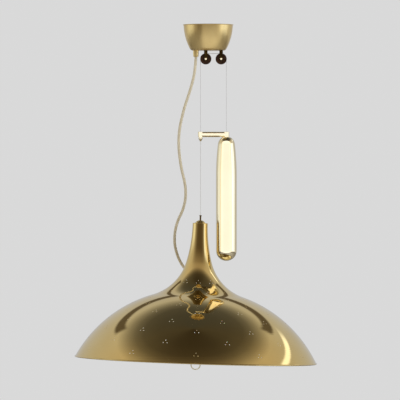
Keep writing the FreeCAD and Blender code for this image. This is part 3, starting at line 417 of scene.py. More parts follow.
# %% The cord's hole
GROMMET_AZIMUTH, GROMMET_TURN = 125, math.radians(30)
GROMMET_SLEEVE, GROMMET_GAP = 11, 0.2
grommet_place = on_wall(
    WAIST_CENTRE[0] - WAIST_RADIUS * math.cos(GROMMET_TURN),
    WAIST_CENTRE[1] - WAIST_RADIUS * math.sin(GROMMET_TURN), GROMMET_TURN, GROMMET_AZIMUTH)
cord_hole = cylinder(GROMMET_SLEEVE + GROMMET_GAP, PIN_LENGTH)
cord_hole.matrix_world = grommet_place
cut_away(shade, cord_hole)
print("faces with the cord's hole:", faces_of(shade))

# %% [markdown]
# A mirror shows every facet, and the thin faces that a cut leaves round each hole would bend
# the reflections. So every corner of the mesh gets the true direction of the arc that it lies
# on. Which skin a face belongs to also tells where the white inside begins.

# %% A true mirror


def outwards(point):
    """The way out of the shade's wall at a point of it, from the arc that it lies on."""
    across, up = math.hypot(point.x, point.y) / MM, point.z / MM
    centre, sign = DOME_CENTRE, -1
    if up > WAIST_END[1]:
        centre, sign = WAIST_CENTRE, 1
    if up > FLARE_END[1]:
        centre = flare_centre
    way = (Vector(centre) - Vector((across, up))).normalized() * sign
    around = Vector((point.x, point.y, 0)).normalized()
    return around * way.x + Vector((0, 0, way.y))


def skin_side(face):
    """1 on the outer skin, -1 on the inner one and 0 on edges, holes, the top and the bead."""
    middle = face.center
    across, up = math.hypot(middle.x, middle.y) / MM, middle.z / MM
    if up > FLARE_TOP or (Vector((across, up)) - bead_centre).length < BEAD_RADIUS + 0.1:
        return 0
    side = face.normal.dot(outwards(middle))
    return round(side) if abs(side) > 0.9 else 0


def true_normals(piece):
    mesh = piece.data
    directions = [Vector()] * len(mesh.loops)
    for face in mesh.polygons:
        side = skin_side(face)
        for corner in face.loop_indices if side else ():
            place = mesh.vertices[mesh.loops[corner].vertex_index].co
            directions[corner] = outwards(place) * side
    mesh.normals_split_custom_set(directions)


smooth(shade)
true_normals(shade)
for face in shade.data.polygons:
    face.material_index = 1 if skin_side(face) < 0 else 0
print("inner faces:", sum(face.material_index for face in shade.data.polygons))
dress(hang(shade), "shade", "polished_brass", "shade_shell")

# %% [markdown]
# A domed cap closes the neck. The wire's end is held in a little turned terminal on top of
# it, and inside, a washer and a nut clamp the neck's turned-in lip to the hanging tube. These
# small pieces are lathe work too.

# %% Neck cap and wire terminal
CAP_RADIUS, CAP_EDGE, CAP_HEIGHT, CAP_CHAMFER = 12, 0.8, 7, 0.2
CAP_HOLE = 2.05
WIRE_HOLE = 0.75
STEM_RADIUS, STEM_FOOT_RADIUS, STEM_FOOT_TOP, STEM_BURIED = 2.7, 3.3, 3, 1
crown_rise = CAP_HEIGHT - CAP_EDGE
crown_radius = (CAP_RADIUS ** 2 + crown_rise ** 2) / (2 * crown_rise)
hole_drop = crown_radius - math.sqrt(crown_radius ** 2 - CAP_HOLE ** 2)
cap = turned("neck_cap_dome", [
    (CAP_HOLE, NECK_TOP), (CAP_RADIUS - CAP_CHAMFER, NECK_TOP),
    (CAP_RADIUS, NECK_TOP + CAP_CHAMFER),
    (CAP_RADIUS, NECK_TOP + CAP_EDGE, crown_radius),
    (CAP_HOLE, NECK_TOP + CAP_HEIGHT - hole_drop), (CAP_HOLE, NECK_TOP)])
dress(hang(cap), "shade", "polished_brass", "neck_cap")
stem = turned("wire_terminal", [
    (0, -2), (WIRE_HOLE, -2), (WIRE_HOLE, -0.1), (0.95, 0), (2.4, 0), (STEM_RADIUS, -0.3),
    (STEM_RADIUS, -2.7), (2.4, -3), (2, -3.1), (2, NECK_TOP + STEM_FOOT_TOP),
    (STEM_FOOT_RADIUS, NECK_TOP + STEM_FOOT_TOP), (STEM_FOOT_RADIUS, NECK_TOP + STEM_BURIED),
    (0, NECK_TOP + STEM_BURIED)], sides=32)
dress(hang(stem), "shade", "zinc_steel", "wire_stem")
print("cap and terminal:", faces_of(cap), faces_of(stem), "faces")

# %% [markdown]
# ## The canopy
# A spun cup hides the bracket and the mains terminals. Its side bows a little, its lower
# corner is round and its upper edge is rolled out into a narrow lip. The cup's own outline
# goes round inside again, so it is open towards the ceiling as the real one is.

# %% Canopy cup
CUP_RADIUS, CUP_HEIGHT, CUP_WALL = 59, 62.4, 1.2
LIP_OVERHANG, LIP_HEIGHT = 1.6, 1.8
SIDE_RADIUS, SIDE_LEAN, CUP_CORNER = 130, math.radians(2), 8
GRUB_DROP, GRUB_HOLE = 8, 4.2
FORK_HOLE, GLAND_HOLE = 8.2, 10.2
THROUGH_FLOOR, THROUGH_BOTH_SIDES = 10, 150
PULLEY_PLACES = (-5.8, 31.0)
GLAND_PLACE = -29.5


def cup_outline():
    corner_drop = CUP_HEIGHT - LIP_HEIGHT - CUP_CORNER
    side = (corner_drop + SIDE_RADIUS * math.sin(SIDE_LEAN)) / (SIDE_RADIUS - CUP_CORNER)
    turn = math.asin(side)
    end = (CUP_RADIUS - SIDE_RADIUS * (math.cos(SIDE_LEAN) - math.cos(turn)),
           -LIP_HEIGHT - SIDE_RADIUS * (side - math.sin(SIDE_LEAN)))
    floor = end[0] - CUP_CORNER * math.cos(turn)
    inner = CUP_RADIUS - CUP_WALL * math.cos(SIDE_LEAN)
    lip, half = CUP_RADIUS + LIP_OVERHANG, LIP_HEIGHT / 2
    return [
        (0, -CUP_HEIGHT), (floor, -CUP_HEIGHT, CUP_CORNER), (*end, SIDE_RADIUS),
        (CUP_RADIUS, -LIP_HEIGHT), (lip - half, -LIP_HEIGHT, half), (lip, -half, half),
        (lip - half, 0), (inner, 0),
        (inner, -LIP_HEIGHT + CUP_WALL * math.sin(SIDE_LEAN), -(SIDE_RADIUS - CUP_WALL)),
        (end[0] - CUP_WALL * math.cos(turn), end[1] + CUP_WALL * side,
         -(CUP_CORNER - CUP_WALL)),
        (floor, CUP_WALL - CUP_HEIGHT), (0, CUP_WALL - CUP_HEIGHT)]


cup = turned("canopy_spun_cup", cup_outline(), sides=144)
holes = [cylinder(FORK_HOLE, THROUGH_FLOOR, at=(x, 0, -CUP_HEIGHT)) for x in PULLEY_PLACES]
holes += [cylinder(GLAND_HOLE, THROUGH_FLOOR, at=(GLAND_PLACE, 0, -CUP_HEIGHT)),
          cylinder(GRUB_HOLE, THROUGH_BOTH_SIDES, at=(0, 0, -GRUB_DROP), turn=(0, 90, 0))]
for hole in holes:
    cut_away(cup, hole)
dress(smooth(cup), "canopy", "satin_brass", "canopy_cup")
print("canopy cup:", faces_of(cup), "faces")

# %% [markdown]
# ## The gland
# The supply cord leaves the canopy through a slightly tapered brass gland. Its thread goes up
# through the cup's floor and its bore holds the cord's end, so we draw the whole section, with
# the bore, and turn it.

# %% Cord gland
GLAND_LENGTH, GLAND_BORE, GLAND_SOCKET, THREAD_RISE = 15.1, 2.2, 3.5, 8
GLAND_END = -CUP_HEIGHT - GLAND_LENGTH
gland = turned("cord_gland_nut", [
    (GLAND_SOCKET, GLAND_END + 8), (GLAND_SOCKET, GLAND_END + 0.5), (4, GLAND_END),
    (5.6, GLAND_END), (6, GLAND_END + 0.4), (6.8, GLAND_END + 7.55), (6.8, -CUP_HEIGHT - 0.6),
    (6.4, -CUP_HEIGHT), (5, -CUP_HEIGHT), (5, -CUP_HEIGHT + THREAD_RISE),
    (GLAND_BORE, -CUP_HEIGHT + THREAD_RISE), (GLAND_BORE, GLAND_END + 8),
    (GLAND_SOCKET, GLAND_END + 8)], sides=48)
dress(put(gland, (GLAND_PLACE, 0, 0)), "canopy", "satin_brass", "cord_gland")
print("gland:", faces_of(gland), "faces")

# %% [markdown]
# ## The pulleys
# The two pulleys are turned from dark bakelite with dished faces and a groove for the wire. A
# wheel is drawn as a section that does not touch its axis, so it comes out with a bore for its
# brass bush. It is turned upright like everything else, and then laid over on its side.

# %% Pulley wheels with their bushes
PULLEY_DROP = 82.5
PITCH_RADIUS, WHEEL_RADIUS, HALF_WHEEL, GROOVE = 12.6, 13.4, 2.5, 0.9
WHEEL_BORE, BUSH_BORE, BUSH_RADIUS = 3.02, 2.05, 3
wheel_section = [
    (WHEEL_BORE, -HALF_WHEEL), (4.6, -HALF_WHEEL), (4.8, -2.3), (5, -1.7), (10.5, -1.7),
    (10.8, -2.2), (11.1, -HALF_WHEEL), (13, -HALF_WHEEL, 0.4), (WHEEL_RADIUS, -2.1),
    (WHEEL_RADIUS, -1.7), (PITCH_RADIUS, -GROOVE, -GROOVE), (PITCH_RADIUS - GROOVE, 0, -GROOVE),
    (PITCH_RADIUS, GROOVE), (WHEEL_RADIUS, 1.7), (WHEEL_RADIUS, 2.1, 0.4),
    (13, HALF_WHEEL), (11.1, HALF_WHEEL), (10.8, 2.2), (10.5, 1.7), (5, 1.7), (4.8, 2.3),
    (4.6, HALF_WHEEL), (WHEEL_BORE, HALF_WHEEL), (WHEEL_BORE, -HALF_WHEEL)]
bush_section = [
    (BUSH_BORE, -HALF_WHEEL), (BUSH_RADIUS, -HALF_WHEEL), (BUSH_RADIUS, HALF_WHEEL),
    (BUSH_BORE, HALF_WHEEL), (BUSH_BORE, -HALF_WHEEL)]
for side, place in zip(("left", "right"), PULLEY_PLACES):
    for part, section, material in (
            ("wheel", wheel_section, "brown_plastic"), ("bush", bush_section, "satin_brass")):
        turned_part = turned(f"{side}_{part}_turned", section, sides=96)
        put(turned_part, (place, 0, -PULLEY_DROP), (90, 0, 0))
        dress(turned_part, f"{side}_pulley", material, f"{side}_pulley_{part}")
        print(turned_part.name, faces_of(turned_part), "faces")

# %% [markdown]
# ## Machined parts
# The forks, their pins and other machined parts are right as the model has them, but its
# meshes are loose triangles. We copy such a mesh, merge its doubles and shade it smooth, and
# leave the original as it is.

# %% Smooth copies of machined parts


def from_node(name, body, slot):
    source = frame["nodes"][name]
    piece = bpy.data.objects.new(f"{name}_smooth", source.data.copy())
    bpy.context.scene.collection.objects.link(piece)
    pick(piece)
    bpy.ops.object.mode_set(mode="EDIT")
    bpy.ops.mesh.select_all(action="SELECT")
    bpy.ops.mesh.remove_doubles(threshold=FINE)
    bpy.ops.object.mode_set(mode="OBJECT")
    return dress(smooth(piece), body, slot, name)


for name, body, slot in (
        ("left_pulley_fork", "canopy", "satin_brass"),
        ("right_pulley_fork", "canopy", "satin_brass"),
        ("pulley_pins", "canopy", "zinc_steel"),
        ("pull_eye", "shade", "polished_brass"),
        ("pull_rod", "shade", "polished_brass"),
        ("lamp_carrier", "shade", "white_lacquer"),
        ("hanger_tube", "shade", "zinc_steel"),
        ("ceiling_bracket", "canopy", "zinc_steel"),
        ("carrier_plate", "canopy", "zinc_steel"),
        ("terminal_block", "canopy", "white_plastic"),
        ("grub_screws", "canopy", "zinc_steel")):
    print(name, faces_of(from_node(name, body, slot)), "faces")

# %% [markdown]
# ## Counterweight and arm
# A collar clamps the wire and carries the weight. A bar runs from it to a guide tube, which
# slides on the shade's wire and keeps the weight from turning, with a small cone below.

# %% Collar, guide tube and cone
ARM_DROP, ARM_HALF = 263.9, 6.5
WEIGHT_WIRE, SHADE_WIRE = 43.6, -18.4
COLLAR_RADIUS, FERRULE_HOLE = 6.7, 2.3
GUIDE_RADIUS, GUIDE_HOLE = 6, 1.1
collar = turned("wire_collar", [
    (WIRE_HOLE, ARM_HALF), (WIRE_HOLE, 2.5), (FERRULE_HOLE, 2.5), (FERRULE_HOLE, -ARM_HALF),
    (6.3, -ARM_HALF), (COLLAR_RADIUS, -6.1), (COLLAR_RADIUS, 6.1), (6.3, ARM_HALF),
    (WIRE_HOLE, ARM_HALF)], sides=64)
dress(put(collar, (WEIGHT_WIRE, 0, -ARM_DROP)), "counterweight", "satin_brass", "arm_collar")
guide = turned("guide_tube_turned", [
    (GUIDE_HOLE, -ARM_HALF), (5.7, -ARM_HALF), (GUIDE_RADIUS, -6.2), (GUIDE_RADIUS, 6.2),
    (5.7, ARM_HALF), (1.5, ARM_HALF), (GUIDE_HOLE, 6.1), (GUIDE_HOLE, -ARM_HALF)], sides=64)
dress(put(guide, (SHADE_WIRE, 0, -ARM_DROP)), "counterweight", "satin_brass", "guide_tube")
cone = turned("guide_cone_turned", [
    (GUIDE_HOLE, 0), (GUIDE_HOLE, -9.9), (1.4, -9.9), (1.7, -9.6), (5.1, -3.5), (5.2, -3.3),
    (5.2, -2.6), (5, -2.4), (4, -2.4), (4, 0), (GUIDE_HOLE, 0)], sides=64)
put(cone, (SHADE_WIRE, 0, -ARM_DROP - ARM_HALF))
dress(cone, "counterweight", "satin_brass", "guide_cone")
print("collar, guide and cone:", faces_of(collar), faces_of(guide), faces_of(cone))

# %% [markdown]
# The cross arm is a bar between the two, and fits round them: its ends are saddles. A rod as
# thick as the guide tube cuts one end, and one as thick as the collar the other, which is how
# a maker would mill them.

# %% Cross arm
ARM_SPAN = WEIGHT_WIRE - SHADE_WIRE
BAR_DIAMETER, BAR_SIDES, SADDLE_CUT = 12.6, 96, 30
bar = cylinder(BAR_DIAMETER, ARM_SPAN, BAR_SIDES, turn=(0, 90, 0))
bar.name = "cross_arm_bar"
for end, radius in ((-1, GUIDE_RADIUS), (1, COLLAR_RADIUS)):
    cut_away(bar, cylinder(2 * radius, SADDLE_CUT, BAR_SIDES, at=(end * ARM_SPAN / 2, 0, 0)))
put(smooth(bar), (SHADE_WIRE + ARM_SPAN / 2, 0, -ARM_DROP))
dress(bar, "counterweight", "satin_brass", "cross_arm")
print("cross arm:", faces_of(bar), "faces")

# %% [markdown]
# The weight is a long polished cylinder, a little slimmer towards its domed top and round as
# a ball at its foot. It is one closed shell here; its steel filling stays inside.

# %% Counterweight
WEIGHT_RADIUS, WEIGHT_LENGTH = 25, 296.8
SEAT_RADIUS, SHOULDER_RADIUS, SHOULDER_TURN = 9, 20.5, math.radians(6.7)
seat = -ARM_DROP - ARM_HALF
shoulder_centre = seat - math.sqrt(SHOULDER_RADIUS ** 2 - SEAT_RADIUS ** 2)
weight_side_radius = ((WEIGHT_RADIUS - SHOULDER_RADIUS * math.cos(SHOULDER_TURN))
                      / (1 - math.cos(SHOULDER_TURN)))
shoulder_end = shoulder_centre + SHOULDER_RADIUS * math.sin(SHOULDER_TURN)
side_end = shoulder_end - weight_side_radius * math.sin(SHOULDER_TURN)
foot_centre = seat - WEIGHT_LENGTH + WEIGHT_RADIUS
weight = turned("polished_counterweight", [
    (0, seat), (SEAT_RADIUS, seat, -SHOULDER_RADIUS),
    (SHOULDER_RADIUS * math.cos(SHOULDER_TURN), shoulder_end, -weight_side_radius),
    (WEIGHT_RADIUS, side_end), (WEIGHT_RADIUS, foot_centre, -WEIGHT_RADIUS),
    (0, foot_centre - WEIGHT_RADIUS)], sides=128)
dress(put(weight, (WEIGHT_WIRE, 0, 0)), "counterweight", "polished_brass", "weight_shell")
print("weight:", faces_of(weight), "faces")

# %% [markdown]
# ## Lamps and pull ring
# Under the shade a white carrier with three arms holds three lampholders. One holder and one
# bulb are turned, and copied to the three places round the axis.

# %% Lampholders and bulbs
UNDER_CARRIER = -189.1
LAMP_CIRCLE, LAMP_COUNT = 60, 3
BULB_RADIUS, BULB_DROP, BULB_TURN, BULB_NECK = 30, 92.3, math.radians(50), 13.2


def lamp_places():
    return [Matrix.Rotation(2 * math.pi * index / LAMP_COUNT, 4, "Z")
            @ Matrix.Translation((LAMP_CIRCLE * MM, 0, 0)) for index in range(LAMP_COUNT)]


holder_section = [
    (0, 8), (5, 8), (5, 0), (11.4, 0), (12, -0.6), (12, -8.6), (12.6, -9.4), (18.4, -17),
    (19, -18), (19, -30), (18.4, -30.4), (18.4, -31.4), (19, -31.8), (19, -33.4),
    (18.4, -33.8), (18.4, -34.8), (19, -35.2), (19, -44.6, -1.4), (17.6, -46), (14.4, -46),
    (13.5, -45.2), (13.5, -18), (0, -18)]
bulb_outline = [
    (0, -18.3), (BULB_NECK, -18.3), (BULB_NECK, -46.3),
    (BULB_RADIUS * math.cos(BULB_TURN), BULB_RADIUS * math.sin(BULB_TURN) - BULB_DROP,
     -BULB_RADIUS), (BULB_RADIUS, -BULB_DROP, -BULB_RADIUS), (0, -BULB_DROP - BULB_RADIUS)]
for index, place in enumerate(lamp_places(), start=1):
    for name, node, section, slot in (
            ("ceramic_holder", "lampholder", holder_section, "white_plastic"),
            ("opal_bulb", "bulb", bulb_outline, "opal_glass")):
        lamp = turned(f"{name}_{index}", section, sides=64)
        lamp.data.transform(place @ Matrix.Translation((0, 0, UNDER_CARRIER * MM)))
        dress(hang(lamp), "shade", slot, f"{node}_{index}")
        print(lamp.name, faces_of(lamp), "faces")

# %% [markdown]
# The pull ring is bent from round wire, and its ends are soldered where they meet. A torus
# would do, but the lathe is at hand: two half circles, drawn beside the axis, are the wire's
# section, and one full turn closes the ring.

# %% Pull ring
RING_CENTRE = (-30.319, 0, -816.902)
RING_OUTSIDE, RING_INSIDE, RING_STEPS = 12, 9.6, 72
ring_wire = (RING_OUTSIDE - RING_INSIDE) / 2
ring = draw_outline("wire_pull_ring", [
    (RING_OUTSIDE, 0, ring_wire), (RING_INSIDE, 0, ring_wire), (RING_OUTSIDE, 0)])
bpy.ops.mesh.select_all(action="SELECT")
bpy.ops.mesh.spin(steps=RING_STEPS, angle=2 * math.pi, center=(0, 0, 0), axis=(0, 0, 1))
tidy_mesh(ring)
put(ring, turn=(90, 0, 0))
dress(smooth(put(ring, RING_CENTRE, (0, LEAN, 0)), 60), "pull_ring", "polished_brass",
      "pull_ring")
print("ring:", faces_of(ring), "faces")

# %% [markdown]
# ## Wires and cord
# The wire that carries the lamp is a stranded one, and the supply cord is covered in woven
# cotton. Both are tubes swept along a path, with a low relief on them: twisted strands on the
# wire, and the crossing threads of a braid on the cord. A bevelled curve makes a tube too, but
# it has no relief, so this sweep writes its rings of points itself.

# %% Sweep a tube with a relief along a path


def swept(name, path, radius, sides, relief, spacing):
    """A closed tube along a path in metres; relief(turn, distance in mm) is a height in mm."""
    lengths = [0.0]
    for before, here in zip(path, path[1:]):
        lengths.append(lengths[-1] + (here - before).length)
    rings = max(2, round(lengths[-1] / (spacing * MM))) + 1
    vertices, faces, corners = [], [], []
    across, run = None, 0
    for ring_index in range(rings):
        distance = lengths[-1] * ring_index / (rings - 1)
        while run < len(path) - 2 and lengths[run + 1] < distance:
            run += 1
        share = (distance - lengths[run]) / (lengths[run + 1] - lengths[run])
        middle = path[run].lerp(path[run + 1], share)
        before, after = path[max(run - 1, 0)], path[min(run + 2, len(path) - 1)]
        ahead = ((path[run] - before).lerp(after - path[run + 1], share)
                 + path[run + 1] - path[run]).normalized()
        across = across or ahead.orthogonal()
        across = (across - ahead * across.dot(ahead)).normalized()
        aside = ahead.cross(across)
        for side in range(sides):
            turn = 2 * math.pi * side / sides
            height = (radius + relief(turn, distance / MM)) * MM
            vertices.append(middle + (across * math.cos(turn) + aside * math.sin(turn)) * height)
    for ring_index in range(rings - 1):
        for side in range(sides):
            following = (side + 1) % sides
            low, high = ring_index * sides, (ring_index + 1) * sides
            faces.append((low + side, low + following, high + following, high + side))
            u, v = (side / sides, (side + 1) / sides), (ring_index, ring_index + 1)
            corners += [(u[0], v[0]), (u[1], v[0]), (u[1], v[1]), (u[0], v[1])]
    faces.append(tuple(reversed(range(sides))))
    faces.append(tuple(range((rings - 1) * sides, rings * sides)))
    corners += [(0, 0)] * (2 * sides)
    mesh = bpy.data.meshes.new(name)
    mesh.from_pydata(vertices, [], faces)
    layer = mesh.uv_layers.new(name="UVMap")
    metres = lengths[-1] / (rings - 1)
    for corner, (u, v) in zip(layer.data, corners):
        corner.uv = (u, v * metres)
    piece = bpy.data.objects.new(name, mesh)
    bpy.context.scene.collection.objects.link(piece)
    return smooth(piece, 60)


# %% [markdown]
# The wire is in three stretches, because it is rigid over the pulleys and changes length
# below them. Each hanging stretch is a straight run from its pulley down to what it carries.

# %% Suspension wire
WIRE_RADIUS, WIRE_SIDES, WIRE_SPACING = 0.6, 18, 0.6
STRANDS, LAY, STRAND_DEPTH = 6, 8.0, 0.09
FAR_DROP_SHADE, FAR_DROP_WEIGHT = 459.6, 266.4


def strands(turn, distance):
    twist = STRANDS / 2 * turn - math.pi * STRANDS * distance / LAY
    return -STRAND_DEPTH * (1 - abs(math.cos(twist)))


def straight(x, top, bottom, count=12):
    return [Vector((x, 0, (top + (bottom - top) * step / count) * MM)) for step in range(count + 1)]


def over_the_pulleys(steps=24):
    left, right = PULLEY_PLACES
    quarter = [math.pi / 2 * step / steps for step in range(steps + 1)]
    points = [(left - PITCH_RADIUS * math.cos(a), PITCH_RADIUS * math.sin(a)) for a in quarter]
    points += [(right + PITCH_RADIUS * math.sin(a), PITCH_RADIUS * math.cos(a)) for a in quarter]
    return [Vector((x * MM, 0, (z - PULLEY_DROP) * MM)) for x, z in points]


def stranded(name, path):
    return swept(name, path, WIRE_RADIUS, WIRE_SIDES, strands, WIRE_SPACING)


top_wire = stranded("wire_on_pulleys", over_the_pulleys())
dress(top_wire, "canopy", "wire_steel", "wire_over_pulleys")
print("wire_on_pulleys", faces_of(top_wire), "faces")
for name, x, bottom, body, node_name in (
        ("shade_wire_strands", SHADE_WIRE * MM, -FAR_DROP_SHADE, "shade", "shade_wire"),
        ("weight_wire_strands", WEIGHT_WIRE * MM, -FAR_DROP_WEIGHT, "counterweight",
         "weight_wire")):
    wire = stranded(name, straight(x, -PULLEY_DROP, bottom))
    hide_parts(node_name)
    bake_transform(wire)
    print(name, faces_of(wire), "faces")

# %% [markdown]
# The cord hangs in a slack double curve between gland and grommet. We give a few control
# points, with a straight start and end, and let a smooth spline round them off.

# %% The cord's route
CORD_EXIT = (-0.0295, 0, -0.0695)
STRAIGHT_OUT, INTO_GROMMET = 24, 2.5
hung = Matrix.Translation([part * MM for part in WIRE_END]) @ Matrix.Rotation(
    math.radians(LEAN), 4, "Y")
seat_place = hung @ grommet_place
grommet_seat = seat_place.translation
grommet_out = (seat_place.to_3x3() @ Vector((0, 0, 1))).normalized()
cord_route = [
    CORD_EXIT, (-0.0302, 0.0005, -0.106), (-0.041, 0.003, -0.152), (-0.0605, 0.006, -0.208),
    (-0.073, 0.010, -0.272), (-0.0665, 0.015, -0.340), (-0.053, 0.021, -0.390),
    (-0.056, 0.028, -0.436), (-0.078, 0.036, -0.480), (-0.0825, 0.045, -0.524),
    (-0.073, 0.054, -0.560), grommet_seat + grommet_out * STRAIGHT_OUT * MM,
    grommet_seat - grommet_out * INTO_GROMMET * MM]


def spline_points(route):
    """The points of a smooth NURBS line with this route as its control points."""
    curve = bpy.data.curves.new("route", "CURVE")
    curve.dimensions = "3D"
    curve.resolution_u = 16
    spline = curve.splines.new("NURBS")
    spline.points.add(len(route) - 1)
    for point, place in zip(spline.points, route):
        point.co = (*place, 1)
    spline.order_u = 3
    spline.use_endpoint_u = True
    holder = bpy.data.objects.new("route", curve)
    line = bpy.data.meshes.new_from_object(holder)
    points = [vertex.co.copy() for vertex in line.vertices]
    bpy.data.objects.remove(holder)
    bpy.data.meshes.remove(line)
    return points


cord_path = spline_points(cord_route)

# %% [markdown]
# The braid is swept along that route. Threads cross from both sides, and two waves that run
# round the cord in opposite directions rise where they meet, just as crossing threads do.

# %% Supply cord
CORD_RADIUS, CORD_SIDES, CORD_SPACING = 3.25, 48, 0.8
BRAID_THREADS, BRAID_PITCH, BRAID_RELIEF = 8, 5.2, 0.14


def braid(turn, distance):
    along, round_it = 2 * math.pi * distance / BRAID_PITCH, BRAID_THREADS * turn
    return BRAID_RELIEF * math.cos(round_it + along) * math.cos(round_it - along)


cord = swept("braided_supply_cord", cord_path, CORD_RADIUS, CORD_SIDES, braid, CORD_SPACING)
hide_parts("supply_cord")
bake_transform(cord)
print("cord:", faces_of(cord), "faces")

# %% [markdown]
# A rubber grommet lines the hole, so that the thin brass can't cut the cotton. It is turned
# like the rest, with a flange on each side of the wall, and then set on the frame that the
# hole was drilled along.

# %% Grommet
GROMMET_BORE, GROMMET_FLANGE = 3.5, 7.5
grommet = turned("rubber_grommet", [
    (GROMMET_BORE, 1.6), (GROMMET_BORE, -2.8), (4, -3.2), (7, -3.2), (GROMMET_FLANGE, -2.8),
    (GROMMET_FLANGE, -2), (7, -1.6), (GROMMET_SLEEVE / 2, -1.6), (GROMMET_SLEEVE / 2, 0.3),
    (7.2, 0.3), (GROMMET_FLANGE, 0.6), (GROMMET_FLANGE, 1.2), (6.8, 1.9), (4.2, 1.9),
    (GROMMET_BORE, 1.6)], sides=48)
grommet.data.transform(seat_place)
dress(smooth(grommet), "shade", "brown_rubber", "cord_grommet")
print("grommet:", faces_of(grommet), "faces")

# %% [markdown]
# ## Finishes
# A finish is a material made of nodes. This helper adds a node, sets what it is told and joins
# whatever sockets it is given, so each recipe below reads from top to bottom. No real surface
# has one colour and one shine all over, so almost every recipe lets its tint and its wear
# wander a little with slow noise.

# %% Helper for recipes


class Recipe:
    def __init__(self, name, **shader_values):
        self.material = bpy.data.materials.new(name)
        self.material.use_nodes = True
        self.tree = self.material.node_tree
        self.shader = self.tree.nodes["Principled BSDF"]
        for socket, value in shader_values.items():
            self.shader.inputs[socket.replace("_", " ")].default_value = value

    def add(self, kind, inputs, output=0, **settings):
        """Adds a node, and returns one of its outputs."""
        node = self.tree.nodes.new(f"ShaderNode{kind}")
        for name, value in settings.items():
            setattr(node, name, value)
        for name, value in inputs.items():
            if isinstance(value, bpy.types.NodeSocket):
                self.tree.links.new(value, node.inputs[name])
            else:
                node.inputs[name].default_value = value
        return node.outputs[output]

    def place(self, scale=(1, 1, 1), turn=(0, 0, 0), source="Object"):
        coordinates = self.add("TexCoord", {}, source)
        return self.add("Mapping", {
            "Vector": coordinates, "Scale": scale,
            "Rotation": [math.radians(angle) for angle in turn]})

    def noise(self, where, scale, detail=4, roughness=0.5):
        return self.add("TexNoise", {
            "Vector": where, "Scale": scale, "Detail": detail, "Roughness": roughness})

    def blend(self, factor, *stops):
        """A colour from a factor; a stop is (place, colour)."""
        node = self.tree.nodes.new("ShaderNodeValToRGB")
        ramp = node.color_ramp
        while len(ramp.elements) < len(stops):
            ramp.elements.new(1)
        for element, (place, colour) in zip(ramp.elements, stops):
            element.position = place
            element.color = (*colour, 1)
        self.tree.links.new(factor, node.inputs[0])
        return node.outputs[0]

    def range(self, value, low, high, first=0.0, last=1.0):
        return self.add("MapRange", {
            "Value": value, "From Min": low, "From Max": high, "To Min": first, "To Max": last})

    def bump(self, height, strength, distance):
        normal = self.add("Bump", {
            "Height": height, "Strength": strength, "Distance": distance})
        self.tree.links.new(normal, self.shader.inputs["Normal"])

    def calc(self, kind, *values):
        return self.add("Math", dict(enumerate(values)), operation=kind)

    def join(self, output, socket):
        self.tree.links.new(output, self.shader.inputs[socket])

    def tint(self, scale, dark, light, detail=4, reach=0.7):
        """The colour wanders between two tints."""
        wandering = self.noise(self.place(), scale, detail)
        self.join(self.blend(wandering, (0.3, dark), (reach, light)), "Base Color")

    def wear(self, scale, bright, dull, detail=4):
        """The roughness wanders between two values."""
        wandering = self.noise(self.place(), scale, detail)
        self.join(self.range(wandering, 0.3, 0.8, bright, dull), "Roughness")


# %% [markdown]
# A finish takes the place of what is in a piece's first slot.

# %% Paint pieces


def grey(level):
    return (level, level, level)


def paint(material, *names):
    """Gives these objects the material in their first slot."""
    for name in names:
        mesh = bpy.data.objects[name].data
        if mesh.materials:
            mesh.materials[0] = material
        else:
            mesh.materials.append(material)
    print(material.name, "on", ", ".join(names))


# %% [markdown]
# Old polished brass is a brown-gold mirror. The tint wanders a little where the metal has
# tarnished, faint smudges dull it, and the spinning tool has left a slight waviness and
# hair-fine rings. Both are one bump: slow noise, and noise squeezed along the axis.

# %% Mirror brass
mirror = Recipe("mirror_brass", Metallic=1.0)
mirror.tint(7, (0.80, 0.61, 0.265), (0.87, 0.69, 0.325))
mirror.wear(60, 0.02, 0.09, detail=6)
ring_marks = mirror.noise(mirror.place((1, 1, 260), (0, -LEAN, 0)), 2, 3)
waviness = mirror.noise(mirror.place(), 8, 1)
mirror.bump(mirror.calc("MULTIPLY_ADD", waviness, 10.0, ring_marks), 0.15, 0.0002)
paint(mirror.material, "brass_shade", "neck_cap_dome")

# %% [markdown]
# The counterweight and the pull ring are handled and kept bright. Their brass is paler, and
# its bump is drawn out round the piece, which is how a polishing wheel leaves it.

# %% Pale polished brass
pale = Recipe("pale_brass", Metallic=1.0)
pale.tint(12, (0.91, 0.81, 0.56), (0.95, 0.86, 0.63))
pale.wear(80, 0.07, 0.14, detail=6)
pale.bump(pale.noise(pale.place((1, 1, 12)), 14, 3), 0.1, 0.0004)
paint(pale.material, "polished_counterweight", "wire_pull_ring", "pull_eye_smooth",
      "pull_rod_smooth", "pulley_pins_smooth")

# %% [markdown]
# The canopy and its gland were brushed on the lathe. Their shine is broad, so the roughness
# is near 0.3, and a fine bump squeezed along the axis stands for the brush lines.

# %% Satin brass
satin = Recipe("satin_brass_finish", Metallic=1.0)
satin.tint(14, (0.80, 0.60, 0.26), (0.85, 0.66, 0.31))
satin.wear(120, 0.27, 0.34, detail=6)
satin.bump(satin.noise(satin.place((1, 1, 60)), 30, 3), 0.08, 0.0001)
paint(satin.material, "canopy_spun_cup", "cord_gland_nut", "left_bush_turned",
      "right_bush_turned", "gland_nut")

# %% [markdown]
# The arm and what it joins look almost like champagne in the light. It is a pale tint again,
# but with more roughness than the weight has, so that the bar is evenly bright.

# %% Champagne brass
champagne = Recipe("champagne_brass", Metallic=1.0)
champagne.tint(40, (0.90, 0.80, 0.56), (0.94, 0.86, 0.65))
champagne.wear(150, 0.20, 0.30, detail=5)
paint(champagne.material, "wire_collar", "guide_tube_turned", "guide_cone_turned",
      "cross_arm_bar")

# %% [markdown]
# No cloth reaches the forks and the wire's terminal, so their brass has gone brown. A wide
# step between its two tints makes it patchy, as tarnish is.

